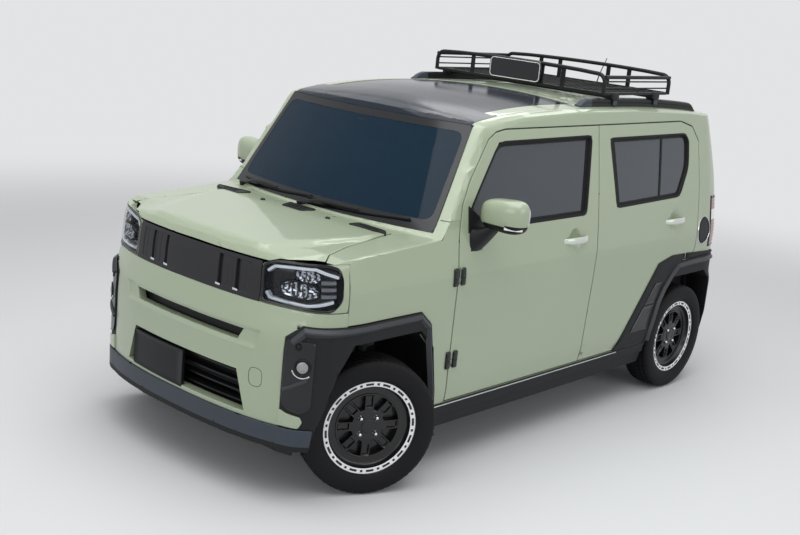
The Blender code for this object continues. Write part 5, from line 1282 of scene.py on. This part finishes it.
lens, backing = wall(lens_s, lens_z, flute + 0 * across), wall(lens_s, lens_z, -0.006)
for piece in fitted("tail_lamp_lens_left", (RED_LENS, INDICATOR), "body", "lamp_lens", slab(lens, backing),
                    sharp=60):
    finish_by(piece, lambda centres: abs(centres[:, 2] - 0.985) < 0.030)
FLAP_AT = (s_of_y(1.427, 0.904), 0.904)
flap_line = oval(FLAP_AT, (0.068, 0.075), 56)
fitted("fuel_flap", SATIN_BLACK, "body", "dark_plastic",
       [pad(flap_line, ((0.0, -0.003), (0.0, 0.0030), (0.003, 0.0050), (0.012, 0.0056), (0.0135, 0.0040)),
            dome=0.0005)])
fitted("fuel_flap_ring", BRIGHT, "body", "dark_plastic",
       [between(oval(FLAP_AT, (0.074, 0.081), 56), oval(FLAP_AT, (0.0685, 0.0755), 56),
                ((0, -0.002), (0, 0.0022), (0.5, 0.0045), (1, 0.0022), (1, -0.002)))])

# Cowl: the painted panel below the windscreen, three black vents and two washer nozzles clipped into the
# bonnet, and two wiper arms of bent steel with rubber blades.

GLASS_BASE_Y = -0.980
GLASS_BASE_Z = 1.077
GLASS_SLOPE = 1.486
PANE_SUNK = 0.003


def screen(x, z, proud=0.0):
    """Point of the windscreen at x and z: its foot bows with the square of x and it leans back evenly."""
    y = GLASS_BASE_Y + GLASS_BOW * x ** 2 + (z + PANE_SUNK - GLASS_BASE_Z) / GLASS_SLOPE
    normal = np.stack([2 * GLASS_SLOPE * GLASS_BOW * x, -GLASS_SLOPE + 0 * x, 1 + 0 * x], axis=-1)
    normal /= np.linalg.norm(normal, axis=-1)[..., None]
    return np.stack([x + 0 * z, y, z + 0 * x], axis=-1) + normal * (proud + 0 * x)[..., None]


def flowing(points, count=40):
    """Smooth curve through points in space, by cubics over the length of its chords."""
    points = np.asarray(points, float)
    knots = np.concatenate([[0.0], np.cumsum(np.linalg.norm(np.diff(points, axis=0), axis=1))])
    tangent = slopes(knots, points.T).T
    at = np.linspace(0.0, knots[-1], count)
    i = np.clip(np.searchsorted(knots, at) - 1, 0, len(knots) - 2)
    h = (knots[i + 1] - knots[i])[:, None]
    t = ((at - knots[i]) / h[:, 0])[:, None]
    return cubic(t, h, points[i], points[i + 1], tangent[i], tangent[i + 1])


def carried(path, profile, up=(0.0, 0.0, 1.0), closed=False, scale=1.0):
    """A flat profile carried along a path: its first coordinate runs sideways and its second upwards."""
    path = np.asarray(path, float)
    ahead, behind = np.roll(path, -1, axis=0) - path, path - np.roll(path, 1, axis=0)
    if not closed:
        ahead[-1], behind[0] = behind[-1], ahead[0]
    along = ahead / np.linalg.norm(ahead, axis=1)[:, None] + behind / np.linalg.norm(behind, axis=1)[:, None]
    along /= np.linalg.norm(along, axis=1)[:, None]
    side = np.cross(along, np.broadcast_to(np.asarray(up, float), path.shape))
    side /= np.linalg.norm(side, axis=1)[:, None]
    rise = np.cross(side, along)
    profile = np.asarray(profile, float)[None] * np.broadcast_to(scale, len(path))[:, None, None]
    grid = path[:, None] + side[:, None] * profile[..., :1] + rise[:, None] * profile[..., 1:]
    return shell(grid, round_u=closed, round_v=True, caps=not closed)


def circle(radius, sides=12):
    """Points of a round section."""
    t = angles(sides)
    return np.stack([radius * np.cos(t), radius * np.sin(t)], axis=1)


settle(pressing("cowl_panel", "cowl_moulding"), SAGE_PAINT, "body", "dark_plastic", "cowl_panel")


def on_bonnet(x, y, proud):
    """Point above the rear of the bonnet, whose height rises to the cowl and falls to the sides."""
    rise = (y + 1.60) / (-1.010 + 1.60)
    return np.stack([x + 0 * y, y + 0 * x, 1.028 + 0.038 * rise + 0.012 * (1 - (x / 0.62) ** 2) + proud],
                    axis=-1)


COWL_OPENINGS = (((0.330, -1.078), (0.345, -1.024), (0.505, -1.022), (0.535, -1.052)),
                 ((-0.100, -1.022), (-0.085, -1.092), (0.050, -1.098), (0.075, -1.022)),
                 ((-0.610, -1.024), (-0.585, -1.060), (-0.400, -1.085), (-0.370, -1.022)))
vents = []
for corners in COWL_OPENINGS:
    vents.append(pad(rounded(corners, 0.012),
                     ((0.0, -0.004), (0.0, 0.0105), (0.003, 0.0115), (0.005, 0.0085)), surface=on_bonnet))
    middle = np.mean(corners, axis=0)
    for shift in (-0.020, 0.0, 0.020):
        x = np.linspace(middle[0] - 0.055, middle[0] + 0.055, 8)
        vents.append(band(np.stack([x, middle[1] + shift + 0 * x], axis=1),
                          ridge(0.002, 0.008, 0.0015, 0.0112), False, surface=on_bonnet))
fitted("bonnet_vents", SATIN_BLACK, "bonnet", "dark_plastic", vents)
wipers = []
for pivot, blade in (((-0.075, 1.082), ((-0.055, 1.112), (0.210, 1.104), (0.520, 1.118))),
                     ((-0.560, 1.082), ((-0.560, 1.108), (-0.300, 1.104), (-0.030, 1.118)))):
    x, z = np.array(blade).T
    rubber = flowing(screen(x, z, 0.008 + 0 * x), 40)
    wipers.append(carried(rubber, ((-0.0035, -0.006), (-0.006, 0.002), (-0.002, 0.007), (0.002, 0.007),
                                   (0.006, 0.002), (0.0035, -0.006)), up=(0, -0.8, 0.6)))
    hub = screen(np.array([pivot[0]]), np.array([pivot[1]]), np.array([0.012]))[0]
    elbow = screen(np.array([pivot[0] + 0.09]), np.array([1.098]), np.array([0.026]))[0]
    grip = rubber[22] + np.array((0, -0.010, 0.012))
    arm = flowing((hub, elbow, grip), 26)
    width = np.interp(np.linspace(0, 1, 26), (0, 0.3, 1), (1.5, 1.0, 0.7))
    wipers.append(carried(arm, ((-0.008, -0.003), (-0.007, 0.003), (0.0, 0.005), (0.007, 0.003),
                                (0.008, -0.003)), up=(0, -0.8, 0.6), scale=width))
    wipers.append(carried(np.array((hub + (0, 0.006, -0.030), hub + (0, -0.004, 0.008))), circle(0.016, 20),
                          (1, 0, 0)))
fitted("wipers", SATIN_BLACK, "body", "dark_plastic", wipers, sharp=45)
nozzles = []
for x in (0.215, -0.215):
    outline = oval((x, -1.088), (0.014, 0.010), 24)
    nozzles.append(pad(outline, ((0.0, -0.002), (0.0, 0.010), (0.003, 0.014)), dome=0.002, surface=on_bonnet))
fitted("washer_nozzles", SATIN_BLACK, "bonnet", "dark_plastic", nozzles)

# Glass: a laminated windscreen with a black printed edge, bonded in, tempered side and rear panes and a dark
# roof pane, and the inside mirror on its foot.

SCREEN_TINT = grained("windscreen_glass", (0.004, 0.020, 0.040), (0.007, 0.026, 0.048), 0.03, patch=1.5,
                      grain=300.0, bump=0.0, spread=0.01, Alpha=0.76, Specular_IOR_Level=0.18)
SIDE_TINT = grained("side_glass", (0.050, 0.060, 0.072), (0.064, 0.075, 0.088), 0.03, patch=1.5, grain=300.0,
                    bump=0.0, spread=0.01, Alpha=0.84, Specular_IOR_Level=0.60)
DARK_TINT = grained("privacy_glass", (0.046, 0.056, 0.068), (0.060, 0.071, 0.084), 0.03, patch=1.5,
                    grain=300.0, bump=0.0, spread=0.01, Alpha=0.93, Specular_IOR_Level=0.60)
SCREEN_LOW, SCREEN_HIGH = 1.0865, 1.5295
SCREEN_FOOT, SCREEN_HEAD = 0.6465, 0.5785
u, v = np.meshgrid(np.linspace(-1, 1, 33), np.linspace(0, 1, 17), indexing="ij")
half = SCREEN_FOOT + (SCREEN_HEAD - SCREEN_FOOT) * v
height = SCREEN_LOW + (SCREEN_HIGH - SCREEN_LOW) * v
layers = [screen(u * half, height, proud + 0 * u) for proud in (0.0, -0.006)]
fitted("windscreen_pane", SCREEN_TINT, "body", "tinted_glass", slab(*layers), "windscreen")
EDGE = ((-0.6465, 1.0865), (0.6465, 1.0865), (0.5785, 1.5295), (-0.5785, 1.5295))
INNER_EDGE = ((-0.612, 1.130), (0.612, 1.130), (0.556, 1.498), (-0.556, 1.498))
fitted("windscreen_print", PIANO_BLACK, "body", "gloss_black",
       [between(rounded(EDGE, 0.012), rounded(INNER_EDGE, 0.045),
                ((0, 0.0002), (0, 0.0008), (1, 0.0008), (1, 0.0002)), count=160, surface=screen)])
mirror_mount = screen(np.array([0.0]), np.array([1.470]), np.array([-0.008]))[0]
inside_mirror = [blob(mirror_mount + (0.0, 0.075, -0.045), (0.110, 0.016, 0.034), (0.5, 0.5)),
                 blob(mirror_mount + (0.0, 0.030, -0.005), (0.060, 0.035, 0.026), (0.6, 0.6)),
                 carried(np.array((mirror_mount + (0, 0.02, 0), mirror_mount + (0, 0.07, -0.03))),
                         circle(0.010), (1, 0, 0))]
fitted("inside_mirror", SATIN_BLACK, "body", "dark_plastic", inside_mirror, sharp=60)
settle(pressing("roof_glass", "roof_pane", step=0.02), ROOF_BLACK, "body", "gloss_black", "roof_glass",
       bevel=0.0)
settle(pressing("tailgate_glass", "tailgate_pane", step=0.02), DARK_TINT, "tailgate", "tinted_glass",
       "tailgate_glass", bevel=0.0)
for which, tint in (("front", SIDE_TINT), ("rear", DARK_TINT)):
    on_both_sides(pressing(which + "_door_glass_left", which + "_door_pane_left", step=0.02), tint,
                  which + "_door_left", "tinted_glass", which + "_door_glass_left", bevel=0.0)

# Roof: two black rails on the rear roof with slate feet, the welded basket rack clamped to them, with round
# hoops, flat uprights, thin side rods, a wire floor and a blank rounded sign, and a whip aerial screwed to
# the roof behind it.

RAIL_X = 0.545
RAIL_SPAN = (0.245, 1.400)
RAIL_HEIGHT = 0.040
RACK_X = 0.555
RACK_Y = (0.450, 1.085)
RACK_FLOOR = 1.660
RACK_TOP = 1.757
RACK_CROWN = 0.012
TUBE = 0.0105


def box_section(half_width, half_height, corner=0.3):
    """Superellipse section for bars: small corner numbers make it squarer."""
    return oval((0.0, 0.0), (half_width, half_height), 20, corner)


def rail(side):
    """Section of 10 points from foot to foot over a crowned top, its height easing out at both ends."""
    y = np.linspace(*RAIL_SPAN, 90)[:, None]
    rise = np.clip((y - RAIL_SPAN[0]) / 0.085, 0.06, 1) * np.clip((RAIL_SPAN[1] - y) / 0.060, 0.06, 1)
    height = RAIL_HEIGHT * np.sin(rise * math.pi / 2) ** 0.8
    across = np.array((-0.018, -0.0178, -0.0150, -0.0150, -0.0170, -0.0140, -0.006, 0.006, 0.0140, 0.0170,
                       0.0150, 0.0150, 0.0178, 0.018))[None, :]
    up = np.array((0.0, 0.40, 0.46, 0.52, 0.58, 0.90, 1.0, 1.0, 0.90, 0.58, 0.52, 0.46, 0.40, 0.0))[None, :]
    x = side * (RAIL_X + across + 0 * y)
    base = roof_top(x, y + 0 * x)
    return shell(np.stack([x, y + 0 * x, base + 0.0006 + height * up], axis=-1), round_v=True, caps=True)


rails = fitted("roof_rails", (SATIN_BLACK, SLATE), "body", "dark_plastic", [rail(1), rail(-1)], sharp=40)
finish_by(rails, lambda centres: centres[:, 1] < 0.352)


def hoop(y):
    """Tube across the basket at y: up from the floor, round the corner and over a crowned top."""
    corner = 0.045
    side = [(-RACK_X, y, RACK_FLOOR - 0.005)]
    for turn in np.radians(np.linspace(0, 90, 9)):
        side.append((-RACK_X + corner * (1 - math.cos(turn)), y, RACK_TOP - corner * (1 - math.sin(turn))))
    for x in (-0.40, -0.28, -0.14, 0.0):
        side.append((x, y, RACK_TOP + RACK_CROWN * (1 - (x / RACK_X) ** 2)))
    return carried(np.array(side + [(-x, y, z) for x, y, z in side[-2::-1]]), circle(TUBE, 14), (0, 1, 0))


frame_bar = box_section(0.007, 0.007)
tubes = [hoop(y) for y in RACK_Y]
loop = rounded(box(-RACK_X, RACK_Y[0], RACK_X, RACK_Y[1]), 0.03)
tubes.append(carried(np.column_stack([loop, np.full(len(loop), RACK_FLOOR)]), frame_bar, closed=True))
for y in RACK_Y:
    for x in (-0.300, -0.165, 0.165, 0.300):
        top = RACK_TOP + RACK_CROWN * (1 - (x / RACK_X) ** 2)
        tubes.append(carried(np.array(((x, y, RACK_FLOOR), (x, y, top))), box_section(0.013, 0.0035),
                             (0, 1, 0)))
for side in (-1, 1):
    for z, radius in ((1.688, 0.004), (1.722, 0.004)):
        tubes.append(carried(np.array([(side * RACK_X, y, z) for y in RACK_Y]), circle(radius, 10)))
    tubes.append(carried(np.array([(side * RACK_X, RACK_Y[0], 1.744), (side * RACK_X, RACK_Y[1], 1.744)]),
                         circle(0.0095, 14)))
fitted("rack_frame", SATIN_BLACK, "body", "dark_plastic", tubes, "roof_rack", sharp=50)
wires = []
for x in np.linspace(-RACK_X, RACK_X, 21)[1:-1]:
    wires.append(carried(np.array([(x, y, RACK_FLOOR + 0.001) for y in RACK_Y]), circle(0.0026, 8)))
for y in np.linspace(*RACK_Y, 12)[1:-1]:
    wires.append(carried(np.array([(x, y, RACK_FLOOR - 0.0035) for x in (-RACK_X, RACK_X)]),
                         circle(0.0026, 8)))
fitted("rack_wire_floor", SATIN_BLACK, "body", "dark_plastic", wires, sharp=50)
clamps, jaws = [], []
for y in (0.550, 0.950):
    clamps.append(carried(np.array([(-RAIL_X, y, 1.6445), (0, y, 1.6445), (RAIL_X, y, 1.6445)]),
                          box_section(0.018, 0.0105, 0.5), (0, 0, 1)))
    for side in (-1, 1):
        for group, out, z, radii in ((clamps, 0.0, 1.646, (0.026, 0.034, 0.017)),
                                     (clamps, 0.019, 1.634, (0.004, 0.020, 0.026)),
                                     (jaws, 0.021, 1.613, (0.0045, 0.018, 0.012))):
            group.append(blob((side * (RAIL_X + out), y, z), radii, (0.35, 0.3), rows=14, columns=28))
fitted("rack_cross_bars", SATIN_BLACK, "body", "dark_plastic", clamps, sharp=60)
fitted("rack_clamp_jaws", SLATE, "body", "slate_garnish", jaws, sharp=60)
SIGN_Y = 0.430


def sign_plane(x, z, proud):
    """Plane of the sign, facing the nose."""
    return np.stack([x + 0 * z, SIGN_Y - proud + 0 * x, z + 0 * x], axis=-1)


def sign_ring(inset):
    """The sign's rounded outline, drawn in by an inset."""
    return rounded(box(-0.170 + inset, 1.662 + inset, 0.170 - inset, 1.776 - inset), 0.030 - inset)


fitted("rack_sign", PIANO_BLACK, "body", "dark_plastic",
       [pad(sign_ring(0.0), ((0.0, -0.020), (0.0, -0.002), (0.002, 0.0)), surface=sign_plane)], sharp=40)
fitted("rack_sign_outline", INDICATOR, "body", "dark_plastic",
       [between(sign_ring(0.006), sign_ring(0.0095), ((0, -0.001), (0, 0.0006), (1, 0.0006), (1, -0.001)),
                count=120, surface=sign_plane)])
whip = flowing(((-0.025, 1.268, 1.600), (-0.025, 1.272, 1.630), (-0.0265, 1.285, 1.662),
                (-0.055, 1.400, 1.785)), 24)
taper = np.interp(np.linspace(0, 1, 24), (0, 0.12, 0.4, 1), (2.6, 1.6, 1, 0.8))
fitted("whip_aerial", SATIN_BLACK, "body", "dark_plastic",
       [carried(whip, circle(0.0030, 10), (1, 0, 0), scale=taper),
        blob((-0.025, 1.268, 1.604), (0.014, 0.024, 0.010), (0.8, 0.9), rows=12, columns=24)], sharp=60)

# Wheels: moulded tyres with four grooves and slanted sipes, and black steel rims with a pale printed ring of
# dashes and dots, eight pocketed spokes, four bright nuts and a bare cap.

TYRE_RUBBER = grained("tyre_rubber", (0.004, 0.004, 0.005), (0.008, 0.008, 0.009), 0.65, patch=12.0,
                      grain=700.0, bump=0.3, spread=0.1, Specular_IOR_Level=0.2)
RIM_BLACK = grained("rim_black", (0.004, 0.004, 0.005), (0.007, 0.007, 0.008), 0.24, patch=6.0, grain=900.0,
                    bump=0.05, spread=0.1, Specular_IOR_Level=0.5)
RIM_PALE = grained("rim_print", (0.78, 0.79, 0.80), (0.84, 0.85, 0.86), 0.35, patch=6.0, grain=900.0,
                   bump=0.05, spread=0.1)
HALF_TYRE = np.array(((0.0660, 0.2088), (0.0700, 0.2105), (0.0745, 0.2160), (0.0765, 0.2200),
                      (0.0772, 0.2220), (0.0798, 0.2300), (0.0815, 0.2400), (0.0822, 0.2470),
                      (0.0825, 0.2520), (0.0818, 0.2600), (0.0808, 0.2680), (0.0795, 0.2760),
                      (0.0770, 0.2830), (0.0735, 0.2890), (0.0690, 0.2935), (0.0640, 0.2955),
                      (0.0580, 0.2963), (0.0512, 0.2968), (0.0506, 0.2912), (0.0458, 0.2912),
                      (0.0452, 0.2972), (0.0400, 0.2974), (0.0320, 0.2977), (0.0248, 0.2978),
                      (0.0242, 0.2920), (0.0194, 0.2920), (0.0188, 0.2979), (0.0120, 0.2980),
                      (0.0060, 0.2980), (0.0, 0.2980)))
TYRE_COLUMNS, RIM_COLUMNS = 420, 320
SIPES = 60


def on_wheel(centre, axis, a, r, t):
    """Point at a along the wheel's axis, r out from it and turned t about it."""
    flat = np.cross((0, 0, 1), axis)
    a, r, t = np.broadcast_arrays(a, r, t)
    return (np.asarray(centre) + a[..., None] * np.asarray(axis) + (r * np.cos(t))[..., None] * flat
            + (r * np.sin(t))[..., None] * np.array((0, 0, 1.0)))


def tyre(centre, axis):
    """Turned section: a sipe is cut 3 mm deep where the turn, slanted with a, falls in a narrow share."""
    section = np.concatenate([HALF_TYRE, (HALF_TYRE * (-1, 1))[-2::-1]])
    turn = angles(TYRE_COLUMNS)[:, None]
    a, r = section[None, :, 0] + 0 * turn, section[None, :, 1] + 0 * turn
    phase = turn * SIPES / (2 * math.pi) + a * 14
    sipe = (np.mod(phase, 1.0) < 0.16) & (abs(a) < 0.073) & (r > 0.2885)
    rib = 0.0007 * np.exp(-((r - 0.272) / 0.006) ** 2) * (np.mod(turn * 90 / (2 * math.pi), 1.0) < 0.5)
    ring = 0.0010 * (np.exp(-((r - 0.2210) / 0.0015) ** 2) + np.exp(-((r - 0.2585) / 0.0012) ** 2))
    r = r - 0.0032 * sipe
    a = a + np.sign(a) * (rib + ring * 0.6) - np.sign(a) * 0.0007 * (abs(a) > 0.0805)
    return shell(on_wheel(centre, axis, a, r, turn), round_u=True, round_v=True)


PRINT_MARKS = 16
RIM_ROWS = np.concatenate([[0.2084, 0.2084, 0.2070, 0.2055], np.linspace(0.2045, 0.1825, 12),
                           [0.1812, 0.1795, 0.1775], np.linspace(0.1755, 0.1445, 6),
                           np.linspace(0.1430, 0.1370, 4), np.linspace(0.1350, 0.0740, 20),
                           np.linspace(0.0725, 0.0640, 4), np.linspace(0.060, 0.0320, 8),
                           [0.0310, 0.0300, 0.0285, 0.020, 0.010, 0.0006]])
RIM_A = ((0.0, 0.0475), (0.0285, 0.0465), (0.0300, 0.0455), (0.0310, 0.0430), (0.0600, 0.0425),
         (0.0725, 0.0400), (0.1350, 0.0375), (0.1372, 0.0405), (0.1428, 0.0405), (0.1445, 0.0365),
         (0.1700, 0.0370), (0.1765, 0.0420), (0.1812, 0.0600), (0.1830, 0.0650), (0.2045, 0.0665),
         (0.2058, 0.0675), (0.2070, 0.0690), (0.2084, 0.0690))
SPOKES, NUTS = 8, 4
SPOKE_HALF, POCKET_HALF = 0.0215, 0.0130
NUT_RADIUS = 0.050


def rim(centre, axis):
    """Turned face with eight spokes: pockets 10 mm deep within each, holes 28 mm deep between them."""
    turn = angles(RIM_COLUMNS)[:, None]
    r = RIM_ROWS[None, :] + 0 * turn
    a = np.interp(r, *np.array(RIM_A).T)
    nearest = np.mod(turn + math.pi / SPOKES, 2 * math.pi / SPOKES) - math.pi / SPOKES
    q = abs(r * np.sin(nearest))
    beyond = step_up(q, SPOKE_HALF, 0.003) * step_up(r, 0.0735, 0.003) * (1 - step_up(r, 0.1362, 0.002))
    pocket_r = step_up(r, 0.0845, 0.003) * (1 - step_up(r, 0.1315, 0.003))
    pocket = (1 - step_up(q, POCKET_HALF, 0.003)) * pocket_r
    beside = r * np.sin(np.mod(turn, 2 * math.pi / NUTS) - math.pi / NUTS)
    seat = np.exp(-((r - NUT_RADIUS) / 0.010) ** 4) * np.exp(-(beside / 0.010) ** 4)
    a = a - 0.028 * beyond - 0.010 * pocket - 0.006 * seat
    back_a = np.array((-0.070, -0.070, 0.000, 0.004, 0.004))[None, :] + 0 * turn
    back_r = np.array((0.2084, 0.1900, 0.1800, 0.1740, 0.0006))[None, :] + 0 * turn
    a[:, 0] = 0.0660
    a = np.concatenate([back_a[:, ::-1], a], axis=1)
    r = np.concatenate([back_r[:, ::-1], r], axis=1)
    return shell(on_wheel(centre, axis, a, r, turn), round_u=True)


def rim_finish(centre, axis):
    """Pale where the ring's print is: two thin rims, and the ground of the dashes and dots between them."""
    def rule(centres):
        along = (centres - centre) @ axis
        flat = np.cross((0, 0, 1), axis)
        u, v = (centres - centre) @ flat, centres[:, 2] - centre[2]
        r, turn = np.hypot(u, v), np.arctan2(v, u)
        share = np.mod(turn * PRINT_MARKS / (2 * math.pi), 1.0)
        mark = (share < 0.46) | (abs(share - 0.73) < 0.07)
        middle = (r > 0.1885) & (r < 0.1975)
        ring = (r > 0.1832) & (r < 0.2042) & (along > 0.058)
        return ring & ~(middle & mark)
    return rule


NUT_STEEL = grained("nut_steel", (0.55, 0.56, 0.58), (0.70, 0.71, 0.73), 0.2, patch=60.0, grain=500.0,
                    bump=0.1, spread=0.1, Metallic=1.0)
for joint in frame["joints"]:
    if "wheel" not in joint["name"]:
        continue
    end, side = joint["name"].split("_")[0], joint["name"].split("_")[2]
    centre = np.array(joint["pos_m"])
    axis = np.array(joint["axis"]) * (1 if side == "left" else -1)
    place = end + "_" + side
    body = end + "_wheel_" + side
    settle(assembled("tyre_moulding_" + place, tyre(centre, axis)), TYRE_RUBBER, body, "tyre_rubber",
           "tyre_" + place, bevel=0.0)
    face = settle(assembled("rim_pressing_" + place, rim(centre, axis)), (RIM_BLACK, RIM_PALE), body,
                  "rim_black", "rim_" + place, bevel=0.0, sharp=40)
    finish_by(face, rim_finish(centre, axis))
    nuts = []
    for number in range(NUTS):
        turn = (2 * number + 1) * math.pi / NUTS
        middle = on_wheel(centre, axis, 0.0, NUT_RADIUS, turn)
        steps = ((0.030, 0.0110), (0.0385, 0.0110), (0.0395, 0.0095), (0.0500, 0.0088), (0.0545, 0.0070),
                 (0.0570, 0.0030), (0.0574, 0.0001))
        rings = []
        for a, radius in steps:
            t = angles(18)
            hexagon = radius * (1 - 0.07 * (1 - np.cos(3 * t) ** 2) * (0.039 < a < 0.051))
            rings.append(on_wheel(middle, axis, a, hexagon, t))
        nuts.append(shell(np.array(rings), round_v=True, caps=True))
    settle(assembled("wheel_nuts_" + place, *nuts), NUT_STEEL, body, "rim_black", bevel=0.0, sharp=40)

# Rear face: a blank plate, the grip bar above it, the wiper and two red reflectors in the bumper, all
# screwed or clipped to the tailgate and the bumper.


def tail(x, z, proud=0.0):
    """Point of the tail, which bows with the square of x."""
    x, z, proud = np.broadcast_arrays(np.asarray(x, float), np.asarray(z, float), np.asarray(proud, float))
    return np.stack([x, TAIL_Y - eased(z, TAIL_Z, TAIL_BACK) - TAIL_BOW * x ** 2 + proud, z], axis=-1)


rear = [pad(rounded(box(-0.180, 0.715, 0.180, 0.835), 0.012),
            ((0.0, -0.003), (0.0, 0.0020), (0.002, 0.0035), (0.006, 0.0035), (0.0075, 0.0020)), surface=tail),
        pad(rounded(((-0.250, 0.865), (0.250, 0.865), (0.235, 0.905), (-0.235, 0.905)), 0.014),
            ((0.0, -0.003), (0.002, 0.010), (0.006, 0.014)), surface=tail)]
fitted("tailgate_plate_and_grip", SATIN_BLACK, "tailgate", "dark_plastic", rear, sharp=40)
x, z = np.array(((-0.02, 1.075), (0.12, 1.078), (0.27, 1.092), (0.40, 1.120))).T
wiper = flowing(tail(x, z, 0.014 + 0 * x), 36)
fitted("rear_wiper", SATIN_BLACK, "tailgate", "dark_plastic",
       [carried(wiper, ridge(0.007, -0.004, 0.005, 0.004), up=(0, 1, 0)),
        carried(tail(np.zeros(2), np.array((1.072, 1.072)), np.array((-0.010, 0.018))), circle(0.018, 20),
                (1, 0, 0))], sharp=45)
reflector = pad(rounded(box(0.47, 0.470, 0.58, 0.498), 0.010),
                ((0.0, -0.003), (0.0, 0.0030), (0.002, 0.0045)), surface=tail)
fitted("rear_reflector_left", RED_LENS, "body", "lamp_lens", [reflector], sharp=40)

# Cabin: foam seats in woven covers with bolsters and sewn channels, on moulded bases, head rests on steel
# posts, and the grained dashboard.

SEAT_CLOTH = grained("seat_cloth", (0.050, 0.050, 0.054), (0.075, 0.075, 0.080), 0.85, patch=14.0,
                     grain=420.0, bump=0.6, spread=0.1, Sheen_Weight=0.3)
DASH_GRAIN = grained("dash_grain", (0.030, 0.031, 0.033), (0.045, 0.046, 0.049), 0.6, patch=6.0, grain=500.0,
                     bump=0.3, spread=0.12)


def sunk(distance, width):
    """One at no distance, falling off as a bell."""
    return np.exp(-(distance / width) ** 2)


def cushion_form(unit):
    """Bolsters rise at the sides as x to the fourth, with two channels along and two across the top."""
    x, y, z = unit[..., 0], unit[..., 1], unit[..., 2]
    over = np.clip(z, 0, 1)
    lift = 0.28 * x ** 4 * over - 0.12 * over * (1 - x ** 2)
    seams = sunk(abs(x) - 0.60, 0.03) + (sunk(y - 0.15, 0.03) + sunk(y + 0.35, 0.03)) * (abs(x) < 0.6)
    return np.stack([x, y, z + lift - 0.10 * over * seams], axis=-1)


def back_form(unit):
    """The same for the back rest, whose cushioned face looks forwards; it narrows to its shoulders."""
    x, y, z = unit[..., 0], unit[..., 1], unit[..., 2]
    ahead = np.clip(-y, 0, 1)
    lift = 0.30 * x ** 4 * ahead - 0.12 * ahead * (1 - x ** 2)
    seams = sunk(abs(x) - 0.60, 0.03) + (sunk(z - 0.35, 0.03) + sunk(z + 0.25, 0.03)) * (abs(x) < 0.6)
    return np.stack([x * (1 - 0.12 * np.clip(z, 0, 1) ** 2), y - lift + 0.10 * ahead * seams + 0.18 * z, z],
                    axis=-1)


SEAT_X = 0.325
front = [blob((SEAT_X, -0.06, 0.50), (0.235, 0.25, 0.080), (0.5, 0.45), cushion_form, 60, 80),
         blob((SEAT_X, 0.205, 0.82), (0.225, 0.072, 0.290), (0.45, 0.5), back_form, 60, 80),
         blob((SEAT_X, 0.240, 1.185), (0.122, 0.045, 0.085), (0.6, 0.6), rows=30, columns=48)]
for piece in fitted("front_seat_left", SEAT_CLOTH, "body", "seat_fabric", front, sharp=70):
    if "left" in piece.name:
        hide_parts("front_seats")
bench = [*[blob((x, 0.855, 0.555), (0.238, 0.26, 0.070), (0.5, 0.4), cushion_form, 48, 72)
           for x in (-0.245, 0.245)],
         *[blob((x, 1.140, 0.83), (0.238, 0.060, 0.270), (0.45, 0.45), back_form, 48, 72)
           for x in (-0.245, 0.245)],
         *[blob((x, 1.155, 1.170), (0.112, 0.038, 0.068), (0.6, 0.6), rows=24, columns=40)
           for x in (-0.26, 0.26)]]
fitted("rear_bench", SEAT_CLOTH, "body", "seat_fabric", bench, "rear_seat", sharp=70)
bases = []
for side in (-1, 1):
    bases.append(blob((side * SEAT_X, -0.05, 0.375), (0.185, 0.180, 0.060), (0.35, 0.35), rows=16,
                      columns=32))
    bases.append(blob((side * 0.26, 0.93, 0.500), (0.200, 0.160, 0.040), (0.35, 0.35), rows=16, columns=32))
    for x, y, low, high in ((SEAT_X - 0.05, 0.238, 1.06, 1.15), (SEAT_X + 0.05, 0.238, 1.06, 1.15),
                            (0.22, 1.155, 1.06, 1.14), (0.30, 1.155, 1.06, 1.14)):
        bases.append(carried(np.array(((side * x, y - 0.01, low), (side * x, y, high))), circle(0.007),
                             (0, 1, 0)))
fitted("seat_bases_and_posts", SATIN_BLACK, "body", "dark_plastic", bases, sharp=60)
settle(object_from(merged_copy("dashboard"), "dashboard_moulding"), DASH_GRAIN, "body", "dark_plastic",
       "dashboard", bevel=0.004)

# Underside: the dark coated floor, engine, subframe, axle, knuckles and exhaust keep their frame shapes,
# because nothing but their coating is seen below the body.

for node in ("floor_pan", "engine_block", "front_subframe", "rear_axle", "exhaust", "knuckle_left",
             "knuckle_right"):
    plain = frame["nodes"][node]
    plain.data.materials.clear()
    plain.data.materials.append(UNDER_STEEL)
